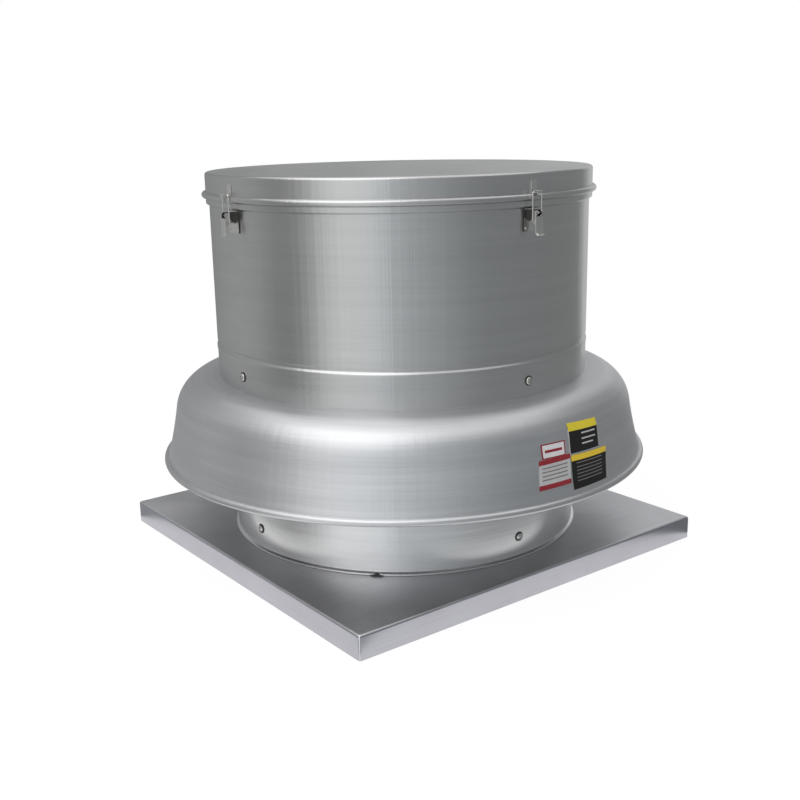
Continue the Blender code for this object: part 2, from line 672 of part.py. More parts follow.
def lid_mesh():
    """Flat-topped lid with a rounded edge and a bead round its foot."""
    edge = (LID_RADIUS - LID_EDGE_ROUND, LID_TOP - LID_EDGE_ROUND)
    bead = (LID_BEAD_CENTRE, LID_BEAD_HEIGHT)
    reach = LID_BEAD_CENTRE - LID_RADIUS
    start = pi - acos(reach / LID_BEAD_RADIUS)
    inside = LID_RADIUS - LID_SHEET
    profile = [(0.0, LID_TOP)]
    profile += arc(edge, LID_EDGE_ROUND, pi / 2, 0.0, LID_EDGE_STEPS)
    profile += arc(bead, LID_BEAD_RADIUS, start, LID_BEAD_END, LID_BEAD_STEPS)
    profile.append((inside, LID_BEAD_HEIGHT))
    profile.append((inside, LID_TOP - LID_EDGE_ROUND))
    profile.append((inside - LID_EDGE_ROUND + LID_SHEET, LID_TOP - LID_SHEET))
    profile.append((0.0, LID_TOP - LID_SHEET))
    return turned("lid", profile, SHELL_SEGMENTS)


# Motor plate, legs and screws

def motor_bolt_rods(radius, low, high):
    """Four upright rods on the motor's bolt circle."""
    place = MOTOR_BOLT_CIRCLE
    rod = rod_mesh("rod", radius, (place, 0, low), (place, 0, high), SCREW_SEGMENTS)
    return turned_copies(rod, [a + pi / 4 for a in QUARTERS])


def motor_plate_mesh():
    """Pressed plate whose upturned rim holds the hood's neck and the drum."""
    inside = PLATE_RADIUS - PLATE_SHEET
    profile = [
        (PLATE_RADIUS, PLATE_RIM_TOP),
        (PLATE_RADIUS, PLATE_BOTTOM + PLATE_SHEET),
        (PLATE_RADIUS - PLATE_SHEET, PLATE_BOTTOM),
        (PLATE_HOLE_RADIUS, PLATE_BOTTOM),
        (PLATE_HOLE_RADIUS, PLATE_TOP),
        (inside, PLATE_TOP),
        (inside, PLATE_RIM_TOP),
    ]
    mesh = turned("motor_plate", profile, SHELL_SEGMENTS)
    holes = motor_bolt_rods(hole_radius(MOTOR_BOLT_RADIUS), PLATE_BOTTOM - CUT, PLATE_TOP + CUT)
    mesh = combined(mesh, holes, "DIFFERENCE")
    radius = hole_radius(SCREW_SHANK_RADIUS)
    return radial_holes(mesh, radius, NECK_SCREW_HEIGHT, inside - CUT, PLATE_RADIUS + CUT)


def leg_mesh():
    """Bent strip: foot on the cap, upright against the collar, foot under the motor plate."""
    top = PLATE_BOTTOM - GAP
    inner = LEG_FACE - LEG_SHEET
    bend = LEG_SHEET / 2
    outline = [
        (LEG_TIP, DECK), (LEG_FACE - bend, DECK), (LEG_FACE, DECK + bend),
        (LEG_FACE, top - bend), (LEG_FACE - bend, top), (LEG_TIP, top),
        (LEG_TIP, top - LEG_SHEET), (inner, top - LEG_SHEET),
        (inner, DECK + LEG_SHEET), (LEG_TIP, DECK + LEG_SHEET),
    ]
    mesh = prism("support_leg", outline, -LEG_WIDTH / 2, LEG_WIDTH / 2, sideways)
    radius = hole_radius(SCREW_SHANK_RADIUS)
    low = (inner - CUT, 0, COLLAR_SCREW_HEIGHT)
    hole = rod_mesh("hole", radius, low, (LEG_FACE + CUT, 0, COLLAR_SCREW_HEIGHT), SCREW_SEGMENTS)
    return combined(mesh, [hole], "DIFFERENCE")


def screw_mesh(name, face, end, height):
    """Pan-head screw along X: head outside the face, shank in to the end."""
    head = SCREW_HEAD_RADIUS
    profile = [
        (0.0, SCREW_HEAD_HEIGHT),
        (SCREW_CROWN_RADIUS, SCREW_HEAD_HEIGHT - SCREW_CROWN_DROP),
        (head, SCREW_HEAD_RIM),
        (head, 0.0),
        (SCREW_SHANK_RADIUS, 0.0),
        (SCREW_SHANK_RADIUS, end - face),
        (0.0, end - face),
    ]
    mesh = turned(name, profile, SCREW_SEGMENTS)
    mesh.transform(Matrix.Translation((face, 0.0, height)) @ Matrix.Rotation(pi / 2, 4, "Y"))
    return mesh


def collar_screw_mesh():
    """Screw through the collar into a leg."""
    face = COLLAR_RADIUS * FACET + GAP
    return screw_mesh("collar_screw", face, LEG_FACE - LEG_SHEET - SCREW_REACH, COLLAR_SCREW_HEIGHT)


def neck_screw_mesh():
    """Screw through drum, neck and the motor plate's rim."""
    face = DRUM_RADIUS * FACET + GAP
    end = (PLATE_RADIUS - PLATE_SHEET) * FACET - SCREW_REACH
    return screw_mesh("neck_screw", face, end, NECK_SCREW_HEIGHT)


# Fan wheel

def shroud_faces():
    """Lower and upper face of the shroud's section: lip, then a quarter ellipse out to the rim."""
    lower = [(EYE_RADIUS, SHROUD_LIP_BOTTOM)]
    for k in range(SHROUD_STEPS + 1):
        angle = pi / 2 * k / SHROUD_STEPS
        radius = WHEEL_RADIUS - (WHEEL_RADIUS - EYE_RADIUS) * cos(angle)
        lower.append((radius, SHROUD_LIP_BOTTOM + SHROUD_LIP_HEIGHT + SHROUD_RISE * sin(angle)))
    upper = inner_side(lower, -WHEEL_SHEET)
    upper[0] = (EYE_RADIUS - WHEEL_SHEET, SHROUD_LIP_BOTTOM)
    upper[-1] = (WHEEL_RADIUS, lower[-1][1] + WHEEL_SHEET)
    return lower, upper


def wheel_shroud_mesh():
    """Spun front shroud: lip round the inlet cone, bell, flat rim."""
    lower, upper = shroud_faces()
    return turned("wheel_shroud", lower + upper[::-1], WHEEL_SEGMENTS)


def blade_floor(radius):
    """Lower edge of a blade: on the shroud, and level from there in to the eye."""
    upper = shroud_faces()[1]
    reach = max(radius, BLADE_FOOT_RADIUS) / cos(pi / WHEEL_SEGMENTS)
    for (r0, z0), (r1, z1) in zip(upper, upper[1:]):
        if r0 <= reach <= r1 and r1 > r0:
            return z0 + (z1 - z0) * (reach - r0) / (r1 - r0) + SHROUD_FOOT_GAP
    return upper[-1][1] + SHROUD_FOOT_GAP


def back_plate_mesh():
    """Flat back plate with a hole for the hub's boss."""
    hole = HUB_BOSS_RADIUS + GAP
    top = BACK_PLATE_BOTTOM + BACK_PLATE_SHEET
    profile = [
        (WHEEL_RADIUS, top), (WHEEL_RADIUS, BACK_PLATE_BOTTOM),
        (hole, BACK_PLATE_BOTTOM), (hole, top),
    ]
    return turned("wheel_back_plate", profile, WHEEL_SEGMENTS)


def blade_plan():
    """Middle line of a blade in plan, from its inner end to its tip, as (radius, angle).

    The angle between blade and circle grows evenly from the inner end to the tip.
    """
    outer = WHEEL_RADIUS - BLADE_TIP_INSET
    reach = outer - BLADE_INNER_RADIUS
    step = reach / (BLADE_STATIONS - 1)
    points = [(BLADE_INNER_RADIUS, 0.0)]
    for k in range(BLADE_STATIONS - 1):
        radius, angle = points[-1]
        share = (k + 0.5) / (BLADE_STATIONS - 1)
        lean = BLADE_IN_ANGLE + (BLADE_OUT_ANGLE - BLADE_IN_ANGLE) * share
        points.append((radius + step, angle + step / ((radius + step / 2) * tan(lean))))
    return points


def blade_mesh():
    """Backward-curved blade whose lower edge follows the shroud."""
    plan = [(r * cos(a), r * sin(a)) for r, a in blade_plan()]
    rings = []
    for k, (x, y) in enumerate(plan):
        before = Vector(plan[max(k - 1, 0)])
        after = Vector(plan[min(k + 1, len(plan) - 1)])
        along = (after - before).normalized()
        side = Vector((-along.y, along.x)) * BLADE_SHEET / 2
        ring = []
        for sign in (1.0, -1.0):
            px = x + sign * side.x
            py = y + sign * side.y
            ring.append((px, py, blade_floor(hypot(px, py))))
        for sign in (-1.0, 1.0):
            ring.append((x + sign * side.x, y + sign * side.y, BLADE_TOP))
        rings.append(ring)
    vertices = [p for ring in rings for p in ring]
    faces = [[0, 1, 2, 3], [len(vertices) - 1 - i for i in range(4)]]
    for k in range(len(rings) - 1):
        for i in range(4):
            j = (i + 1) % 4
            faces.append([4 * k + i, 4 * k + j, 4 * k + 4 + j, 4 * k + 4 + i])
    return closed_mesh("wheel_blade", vertices, faces)


def hub_mesh():
    """Hub: flange on the back plate and a boss down round the shaft's end."""
    bore = SHAFT_RADIUS + GAP
    top = HUB_FLANGE_BOTTOM + HUB_FLANGE_SHEET
    profile = [
        (HUB_FLANGE_RADIUS, top), (HUB_FLANGE_RADIUS, HUB_FLANGE_BOTTOM),
        (HUB_BOSS_RADIUS, HUB_FLANGE_BOTTOM), (HUB_BOSS_RADIUS, HUB_BOTTOM),
        (bore, HUB_BOTTOM), (bore, top),
    ]
    return turned("wheel_hub", profile, MOTOR_SEGMENTS)


def wheel_bolt_mesh():
    """Bolt with its washer, up into the shaft's end."""
    top = HUB_BOTTOM - GAP
    washer = top - WHEEL_WASHER_SHEET
    head = washer - WHEEL_BOLT_HEAD_HEIGHT
    profile = [
        (0.0, top + WHEEL_BOLT_REACH), (WHEEL_BOLT_SHANK_RADIUS, top + WHEEL_BOLT_REACH),
        (WHEEL_BOLT_SHANK_RADIUS, top), (WHEEL_WASHER_RADIUS, top), (WHEEL_WASHER_RADIUS, washer),
        (WHEEL_BOLT_HEAD_RADIUS, washer), (WHEEL_BOLT_HEAD_RADIUS, head), (0.0, head),
    ]
    return turned("wheel_bolt", profile, SCREW_SEGMENTS)


# Motor

def shaft_mesh():
    """Shaft with rotor core: bolt hole below, shaft end, bearing seats, core, tail."""
    hole = WHEEL_BOLT_SHANK_RADIUS + GAP
    hole_top = HUB_BOTTOM + WHEEL_BOLT_REACH + WHEEL_BOLT_FREE
    seat_bottom = BEARING_DRIVE_BOTTOM - SEAT_RUNOUT
    seat_top = BEARING_FAN_BOTTOM + BEARING_WIDTH
    profile = [
        (0.0, hole_top), (hole, hole_top), (hole, HUB_BOTTOM), (SHAFT_RADIUS, HUB_BOTTOM),
        (SHAFT_RADIUS, seat_bottom), (SHAFT_SEAT_RADIUS, seat_bottom),
        (SHAFT_SEAT_RADIUS, CORE_BOTTOM), (ROTOR_CORE_RADIUS, CORE_BOTTOM),
        (ROTOR_CORE_RADIUS, CORE_TOP), (SHAFT_SEAT_RADIUS, CORE_TOP),
        (SHAFT_SEAT_RADIUS, seat_top), (SHAFT_TAIL_RADIUS, seat_top),
        (SHAFT_TAIL_RADIUS, SHAFT_TOP), (0.0, SHAFT_TOP),
    ]
    return turned("rotor_shaft", profile, MOTOR_SEGMENTS)


def bearing_mesh(name, bottom):
    """Sealed ball bearing as one ring, its seals set back from the outer race."""
    bore = hole_radius(SHAFT_SEAT_RADIUS, BEARING_SEGMENTS)
    race = BEARING_RADIUS - BEARING_RACE
    shield = BEARING_STEP
    top = bottom + BEARING_WIDTH
    profile = [
        (BEARING_RADIUS, top), (BEARING_RADIUS, bottom), (race, bottom), (race - shield, bottom + shield),
        (bore, bottom + shield), (bore, top - shield), (race - shield, top - shield), (race, top),
    ]
    return turned(name, profile, BEARING_SEGMENTS)


def drive_shield_mesh():
    """Flanged end shield: spigot in the motor plate, bearing housing, spigot into the frame."""
    passage = SHAFT_RADIUS + SHAFT_PASSAGE
    spigot = PLATE_HOLE_RADIUS - GAP
    lip = FRAME_BORE - GAP
    lip_top = FRAME_BOTTOM + SPIGOT_DEPTH
    floor = MOTOR_BASE + SHIELD_WALL
    housing = hole_radius(BEARING_RADIUS, MOTOR_SEGMENTS)
    housing_top = BEARING_DRIVE_BOTTOM + BEARING_WIDTH
    wall = lip - SHIELD_WALL
    profile = [
        (passage, PLATE_TOP - SPIGOT_DEPTH / 2), (spigot, PLATE_TOP - SPIGOT_DEPTH / 2),
        (spigot, MOTOR_BASE), (FLANGE_RADIUS, MOTOR_BASE),
        (FLANGE_RADIUS, MOTOR_BASE + FLANGE_SHEET), (FRAME_RADIUS, MOTOR_BASE + FLANGE_SHEET),
        (FRAME_RADIUS, FRAME_BOTTOM - GAP), (lip, FRAME_BOTTOM - GAP), (lip, lip_top), (wall, lip_top),
        (wall, floor), (housing + BEARING_HOUSING_WALL, floor),
        (housing + BEARING_HOUSING_WALL, housing_top), (housing, housing_top),
        (housing, floor), (passage, floor),
    ]
    mesh = turned("drive_end_shield", profile, MOTOR_SEGMENTS)
    holes = motor_bolt_rods(hole_radius(MOTOR_BOLT_RADIUS), MOTOR_BASE - CUT, MOTOR_BASE + FLANGE_SHEET + CUT)
    return combined(mesh, holes, "DIFFERENCE")


def fan_shield_mesh():
    """Plain end shield at the fan end, with its bearing housing."""
    passage = SHAFT_TAIL_RADIUS + SHAFT_PASSAGE
    lip = FRAME_BORE - GAP
    under = FRAME_TOP + GAP
    housing = hole_radius(BEARING_RADIUS, MOTOR_SEGMENTS)
    outer = housing + BEARING_HOUSING_WALL
    roof = BEARING_FAN_BOTTOM + BEARING_WIDTH + GAP
    profile = [
        (FRAME_RADIUS, END_SHIELD_TOP), (FRAME_RADIUS, under), (lip, under),
        (lip, FRAME_TOP - SPIGOT_DEPTH), (lip - SHIELD_WALL, FRAME_TOP - SPIGOT_DEPTH),
        (lip - SHIELD_WALL, under), (outer, under), (outer, BEARING_FAN_BOTTOM),
        (housing, BEARING_FAN_BOTTOM), (housing, roof), (passage, roof), (passage, HOUSING_TOP),
        (outer, HOUSING_TOP), (outer, END_SHIELD_TOP),
    ]
    return turned("fan_end_shield", profile, MOTOR_SEGMENTS)


def frame_outline():
    """Finned outline of the motor frame, with a flat pad towards +X for the terminal box."""
    pad = BOX_SIZE[1] / 2 - BOX_ROUND
    pitch = 2 * pi / FIN_COUNT
    half_fin = pitch * FIN_SHARE / 2
    pad_angle = asin(pad / FIN_RADIUS)
    points = [(FIN_RADIUS, -pad), (FIN_RADIUS, pad)]
    for k in range(FIN_COUNT):
        middle = (k + 0.5) * pitch
        if pad_angle + 2 * half_fin < middle < 2 * pi - pad_angle - 2 * half_fin:
            fin = [(FRAME_RADIUS, -1), (FIN_RADIUS, -FIN_TAPER), (FIN_RADIUS, FIN_TAPER), (FRAME_RADIUS, 1)]
            for reach, side in fin:
                angle = middle + side * half_fin
                points.append((reach * cos(angle), reach * sin(angle)))
    return points


def motor_frame_mesh():
    """Finned frame, bored for the stator."""
    mesh = prism("motor_frame", frame_outline(), FRAME_BOTTOM, FRAME_TOP, upright)
    turn = pi / MOTOR_SEGMENTS
    bore = arc((0, 0), FRAME_BORE, turn, 2 * pi + turn, MOTOR_SEGMENTS)[:-1]
    cutter = prism("bore", bore, FRAME_BOTTOM - CUT, FRAME_TOP + CUT, upright)
    return combined(mesh, [cutter], "DIFFERENCE")


def stator_mesh():
    """Stator stack with the ends of its windings."""
    outer = FRAME_BORE - GAP
    inner = (ROTOR_CORE_RADIUS + AIR_GAP) / cos(pi / MOTOR_SEGMENTS)
    coil_out = outer - 2 * WINDING_INSET
    coil_in = inner + WINDING_INSET
    profile = [
        (outer, CORE_TOP), (outer, CORE_BOTTOM), (coil_out, CORE_BOTTOM),
        (coil_out, CORE_BOTTOM - WINDING_LENGTH), (coil_in, CORE_BOTTOM - WINDING_LENGTH),
        (coil_in, CORE_BOTTOM), (inner, CORE_BOTTOM), (inner, CORE_TOP), (coil_in, CORE_TOP),
        (coil_in, CORE_TOP + WINDING_LENGTH), (coil_out, CORE_TOP + WINDING_LENGTH), (coil_out, CORE_TOP),
    ]
    return turned("stator", profile, MOTOR_SEGMENTS)


def cooling_fan_mesh():
    """Moulded fan: hub with straight radial blades."""
    half = COOLING_FAN_BLADE / 2
    outline = []
    for k in range(COOLING_FAN_BLADES):
        middle = 2 * pi * k / COOLING_FAN_BLADES
        root = asin(half / COOLING_FAN_HUB)
        tip = asin(half / COOLING_FAN_RADIUS)
        for radius, angle in ((COOLING_FAN_HUB, -root), (COOLING_FAN_RADIUS, -tip),
                              (COOLING_FAN_RADIUS, tip), (COOLING_FAN_HUB, root)):
            outline.append((radius * cos(middle + angle), radius * sin(middle + angle)))
    top = COOLING_FAN_BOTTOM + COOLING_FAN_HEIGHT
    mesh = prism("cooling_fan", outline, COOLING_FAN_BOTTOM, top, upright)
    bore = hole_radius(SHAFT_TAIL_RADIUS, MOTOR_SEGMENTS)
    low = (0, 0, COOLING_FAN_BOTTOM - CUT)
    cutter = rod_mesh("bore", bore, low, (0, 0, top + CUT), MOTOR_SEGMENTS)
    return combined(mesh, [cutter], "DIFFERENCE")


def cowl_mesh():
    """Pressed cowl over the cooling fan, with radial slots in its roof."""
    inside = FRAME_RADIUS + GAP
    outside = inside + COWL_SHEET
    bottom = FRAME_TOP + GAP
    profile = [
        (0.0, COWL_TOP), (outside - COWL_EDGE_ROUND, COWL_TOP), (outside, COWL_TOP - COWL_EDGE_ROUND),
        (outside, bottom), (inside, bottom), (inside, COWL_TOP - COWL_EDGE_ROUND),
        (inside - COWL_EDGE_ROUND, COWL_TOP - COWL_SHEET), (0.0, COWL_TOP - COWL_SHEET),
    ]
    mesh = turned("fan_cowl", profile, MOTOR_SEGMENTS)
    half = COWL_SLOT_WIDTH / 2
    low = (COWL_SLOT_START, -half, COWL_TOP - CUT)
    slot = box_mesh("slot", low, (inside - COWL_SLOT_MARGIN, half, COWL_TOP + CUT))
    angles = [2 * pi * (k + 0.5) / COWL_SLOTS for k in range(COWL_SLOTS)]
    return combined(mesh, turned_copies(slot, angles), "DIFFERENCE")


def terminal_box_mesh():
    """Terminal box on the frame's pad, with its cable gland pointing down."""
    deep, wide, high = BOX_SIZE
    near = FIN_RADIUS + GAP
    middle = (FRAME_BOTTOM + FRAME_TOP) / 2
    half = wide / 2
    outline = [(near, -half + BOX_ROUND), (near, half - BOX_ROUND)]
    outline += arc((near + deep - BOX_ROUND, half - BOX_ROUND), BOX_ROUND, pi / 2, 0.0, 3)
    outline += arc((near + deep - BOX_ROUND, -half + BOX_ROUND), BOX_ROUND, 0.0, -pi / 2, 3)
    mesh = prism("terminal_box", outline, middle - high / 2, middle + high / 2, upright)
    x = near + deep / 2
    bottom = middle - high / 2
    low = (x, 0, bottom - GLAND_LENGTH)
    gland = rod_mesh("gland", GLAND_RADIUS, low, (x, 0, bottom + GLAND_ROOT), HEX_SIDES)
    return combined(mesh, [gland], "UNION")


def motor_bolt_mesh():
    """Bolt down through flange and motor plate, with its nut."""
    seat = MOTOR_BASE + FLANGE_SHEET + GAP
    under = PLATE_BOTTOM - GAP
    head = MOTOR_BOLT_HEAD_RADIUS
    shank = MOTOR_BOLT_RADIUS
    end = under - MOTOR_NUT_HEIGHT - MOTOR_BOLT_END
    profile = [
        (0.0, seat + MOTOR_BOLT_HEAD_HEIGHT), (head, seat + MOTOR_BOLT_HEAD_HEIGHT), (head, seat),
        (shank, seat), (shank, under), (head, under), (head, under - MOTOR_NUT_HEIGHT),
        (shank, under - MOTOR_NUT_HEIGHT), (shank, end), (0.0, end),
    ]
    mesh = turned("motor_bolt", profile, HEX_SIDES)
    mesh.transform(Matrix.Translation((MOTOR_BOLT_CIRCLE, 0.0, 0.0)))
    return mesh


# Toggle latches, all drawn on +X

def latch_base_mesh():
    """Base plate on the drum, with the two ears that carry the lever's pin."""
    top = HEM_BOTTOM - GAP
    half = LATCH_PLATE_WIDTH / 2
    low = (LATCH_FACE, -half, top - LATCH_PLATE_HEIGHT)
    mesh = box_mesh("latch_base", low, (LATCH_FACE + LATCH_SHEET, half, top))
    root = LATCH_FACE + LATCH_SHEET / 2
    pivot = (PIVOT_X, PIVOT_HEIGHT)
    outline = [(root, PIVOT_HEIGHT + EAR_ROUND)]
    outline += arc(pivot, EAR_ROUND, pi / 2, -pi / 3, 4)
    outline.append((root, PIVOT_HEIGHT - EAR_FOOT))
    ears = [
        prism("ear", outline, EAR_OFFSET, EAR_OUTSIDE, sideways),
        prism("ear", outline, -EAR_OUTSIDE, -EAR_OFFSET, sideways),
    ]
    mesh = combined(mesh, ears, "UNION")
    reach = EAR_OUTSIDE + CUT
    start = (PIVOT_X, -reach, PIVOT_HEIGHT)
    radius = hole_radius(LATCH_PIN_RADIUS)
    hole = rod_mesh("hole", radius, start, (PIVOT_X, reach, PIVOT_HEIGHT), SCREW_SEGMENTS)
    return combined(mesh, [hole], "DIFFERENCE")


def lever_mesh():
    """Lever folded from sheet: two cheeks round the pin and a web down to a curled tip."""
    web = PIVOT_X + LEVER_WEB_OFFSET
    top = PIVOT_HEIGHT - LEVER_WEB_START
    tip = PIVOT_HEIGHT - LEVER_LENGTH
    outline = [
        (web, top), (web, tip + LEVER_CURL), (web + LEVER_CURL, tip),
        (web + LEVER_CURL + LATCH_SHEET, tip), (web + LATCH_SHEET, tip + LEVER_CURL), (web + LATCH_SHEET, top),
    ]
    mesh = prism("latch_lever", outline, -CHEEK_OUTSIDE, CHEEK_OUTSIDE, sideways)
    fold = web + LATCH_SHEET / 2
    cheek = arc((PIVOT_X, PIVOT_HEIGHT), CHEEK_ROUND, radians(170.0), radians(10.0), 3)
    cheek += [(fold, top - CHEEK_LAP), (fold, WIRE_PIVOT_HEIGHT - CHEEK_FOOT)]
    cheek += arc((WIRE_X, WIRE_PIVOT_HEIGHT), CHEEK_EYE_ROUND, radians(-80.0), radians(-190.0), 2)
    parts = [
        prism("cheek", cheek, CHEEK_INSIDE, CHEEK_OUTSIDE - SKIN, sideways),
        prism("cheek", cheek, SKIN - CHEEK_OUTSIDE, -CHEEK_INSIDE, sideways),
    ]
    start = (PIVOT_X, 2 * SKIN - CHEEK_OUTSIDE, PIVOT_HEIGHT)
    end = (PIVOT_X, CHEEK_OUTSIDE - 2 * SKIN, PIVOT_HEIGHT)
    parts.append(rod_mesh("pin", LATCH_PIN_RADIUS, start, end, SCREW_SEGMENTS))
    mesh = combined(mesh, parts, "UNION")
    reach = CHEEK_OUTSIDE + CUT
    eye = hole_radius(WIRE_RADIUS)
    start = (WIRE_X, -reach, WIRE_PIVOT_HEIGHT)
    hole = rod_mesh("hole", eye, start, (WIRE_X, reach, WIRE_PIVOT_HEIGHT), SCREW_SEGMENTS)
    return combined(mesh, [hole], "DIFFERENCE")


def bail_mesh():
    """Wire bail: ends turned into the lever's cheeks, legs up to the bar in the hook."""
    half = []
    low = WIRE_PIVOT_HEIGHT
    end = CHEEK_INSIDE + GAP
    half.append((end, low))
    half += arc((WIRE_Y - WIRE_BEND / 2, low + WIRE_BEND / 2), WIRE_BEND / 2, -pi / 2, 0.0, 1)
    half += arc((WIRE_Y - WIRE_BEND, WIRE_TOP - WIRE_BEND), WIRE_BEND, 0.0, pi / 2, 2)
    route = [(WIRE_X, y, z) for y, z in half]
    route += [(x, -y, z) for x, y, z in reversed(route)]
    return wire_mesh("latch_bail", route, WIRE_RADIUS, WIRE_SIDES)


def catch_mesh():
    """Hook on the lid: plate on its side, arm over the bead, upturned lip outside the wire."""
    plate = HOOK_FACE + LATCH_SHEET
    lip = WIRE_X + WIRE_RADIUS + HOOK_THROAT
    under = HOOK_SEAT - LATCH_SHEET
    top = under + HOOK_PLATE_HEIGHT
    outline = [
        (HOOK_FACE, under), (lip + LATCH_SHEET, under), (lip + LATCH_SHEET, HOOK_SEAT + HOOK_LIP_HEIGHT),
        (lip, HOOK_SEAT + HOOK_LIP_HEIGHT), (lip, HOOK_SEAT), (plate, HOOK_SEAT), (plate, top),
        (HOOK_FACE, top),
    ]
    return prism("latch_catch", outline, -HOOK_WIDTH / 2, HOOK_WIDTH / 2, sideways)


def pivot_empty(name, x, height, turn, parent=None):
    """An empty on a joint's axis, with its X along the radius."""
    made = bpy.data.objects.new(name, None)
    bpy.context.scene.collection.objects.link(made)
    made.location = (x * cos(turn), x * sin(turn), height)
    made.rotation_euler = (0.0, 0.0, turn)
    if parent is not None:
        made.parent = parent
        made.matrix_parent_inverse = parent.matrix_basis.inverted()
    return made


def add_latches(steel):
    """Four latches: each lever hangs on its pivot and each bail on its lever."""
    base = latch_base_mesh()
    catch = catch_mesh()
    lever = lever_mesh()
    lever.transform(Matrix.Translation((-PIVOT_X, 0.0, -PIVOT_HEIGHT)))
    bail = bail_mesh()
    bail.transform(Matrix.Translation((-WIRE_X, 0.0, -WIRE_PIVOT_HEIGHT)))
    for number, turn in enumerate(QUARTERS, start=1):
        show(f"latch_base_{number}", base, steel, turn)
        show(f"latch_catch_{number}", catch, steel, turn)
        pivot = pivot_empty(f"lever_pivot_{number}", PIVOT_X, PIVOT_HEIGHT, turn)
        wire = pivot_empty(f"bail_pivot_{number}", WIRE_X, WIRE_PIVOT_HEIGHT, turn, pivot)
        show(f"latch_lever_{number}", lever, steel, parent=pivot)
        show(f"latch_bail_{number}", bail, steel, parent=wire)


def main():
    for old in list(bpy.data.objects):
        bpy.data.objects.remove(old)
    spun = material("spun_aluminium", (0.62, 0.62, 0.61), 0.32, 1.0)
    sheet = material("cap_sheet", (0.50, 0.50, 0.52), 0.45, 1.0)
    galvanised = material("galvanised_steel", (0.48, 0.49, 0.50), 0.5, 1.0)
    steel = material("bright_steel", (0.66, 0.65, 0.62), 0.25, 1.0)
    cast = material("cast_aluminium", (0.42, 0.43, 0.44), 0.55, 1.0)
    copper = material("copper_winding", (0.60, 0.28, 0.14), 0.4, 1.0)
    plastic = material("black_plastic", (0.03, 0.03, 0.03), 0.5, 0.0)
    paint = material("grey_paint", (0.22, 0.25, 0.27), 0.5, 0.0)

    show("curb_cap", curb_cap_mesh(), sheet)
    show("collar", collar_mesh(), spun)
    show("inlet_cone", inlet_cone_mesh(), spun)
    show("hood", hood_mesh(), spun)
    show("drum", drum_mesh(), spun)
    show("lid", lid_mesh(), spun)
    show("motor_plate", motor_plate_mesh(), galvanised)
    leg = leg_mesh()
    collar_screw = collar_screw_mesh()
    neck_screw = neck_screw_mesh()
    for number, turn in enumerate(QUARTERS, start=1):
        show(f"support_leg_{number}", leg, galvanised, turn)
        show(f"collar_screw_{number}", collar_screw, steel, turn)
        show(f"neck_screw_{number}", neck_screw, steel, turn)
    add_latches(steel)

    show("drive_end_shield", drive_shield_mesh(), cast)
    show("fan_end_shield", fan_shield_mesh(), cast)
    show("motor_frame", motor_frame_mesh(), paint)
    show("stator", stator_mesh(), copper)
    show("bearing_drive", bearing_mesh("bearing_drive", BEARING_DRIVE_BOTTOM), steel)
    show("bearing_fan", bearing_mesh("bearing_fan", BEARING_FAN_BOTTOM), steel)
    show("fan_cowl", cowl_mesh(), paint)
    show("terminal_box", terminal_box_mesh(), paint)
    bolt = motor_bolt_mesh()
    for number, turn in enumerate(QUARTERS, start=1):
        show(f"motor_bolt_{number}", bolt, steel, turn + pi / 4)

    rotor = pivot_empty("rotor_axis", 0.0, 0.0, 0.0)
    show("rotor_shaft", shaft_mesh(), steel, parent=rotor)
    show("cooling_fan", cooling_fan_mesh(), plastic, parent=rotor)
    show("wheel_hub", hub_mesh(), cast, parent=rotor)
    show("wheel_bolt", wheel_bolt_mesh(), steel, parent=rotor)
    show("wheel_back_plate", back_plate_mesh(), spun, parent=rotor)
    show("wheel_shroud", wheel_shroud_mesh(), spun, parent=rotor)
    blade = blade_mesh()
    for number in range(BLADE_COUNT):
        turn = 2 * pi * number / BLADE_COUNT
        show(f"wheel_blade_{number + 1}", blade, spun, turn, parent=rotor)


main()
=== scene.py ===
# %% [markdown]
# # A roof exhaust fan in spun aluminium
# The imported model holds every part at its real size. This lesson dresses it: the big sheet-metal shells are
# turned again with fine curves, each surface gets a procedural finish, and a camera and plain studio light are
# added. Everything is in metres, with the fan's axis on Z and the roof at height zero.

# %% Load the frame
from math import atan2, cos, degrees, pi, radians, sin, sqrt

import bmesh
import bpy
from mathutils import Matrix, Vector


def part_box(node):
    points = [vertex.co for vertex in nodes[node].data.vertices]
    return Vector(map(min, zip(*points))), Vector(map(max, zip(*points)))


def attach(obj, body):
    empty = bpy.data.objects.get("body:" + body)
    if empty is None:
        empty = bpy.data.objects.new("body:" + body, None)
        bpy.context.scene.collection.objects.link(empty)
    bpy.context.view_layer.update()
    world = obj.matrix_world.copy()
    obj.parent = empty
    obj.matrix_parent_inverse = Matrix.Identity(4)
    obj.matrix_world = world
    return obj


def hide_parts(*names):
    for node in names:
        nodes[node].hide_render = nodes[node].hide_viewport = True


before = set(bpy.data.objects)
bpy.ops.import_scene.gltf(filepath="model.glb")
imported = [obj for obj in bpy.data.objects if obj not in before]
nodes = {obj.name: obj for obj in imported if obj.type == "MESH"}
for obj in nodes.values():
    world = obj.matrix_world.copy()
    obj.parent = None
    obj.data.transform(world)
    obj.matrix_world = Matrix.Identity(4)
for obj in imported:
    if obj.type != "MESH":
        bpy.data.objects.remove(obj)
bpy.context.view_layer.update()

# %% [markdown]
# ## Camera
# A product picture is easiest to match when the camera comes first. Three unit vectors say which way the
# picture's right side, its top and its depth point. They are the columns of the camera's rotation, and the lens
# is given for a square picture. A small helper makes each new object and links it into the scene.

# %% Camera
CAMERA_PLACE = (-1.0077, -1.3154, 0.6484)
CAMERA_RIGHT = (0.79237, -0.60976, -0.01881)
CAMERA_UP = (0.16798, 0.18843, 0.96761)
CAMERA_BACK = (-0.58646, -0.76986, 0.25173)
CAMERA_LENS = 48.44


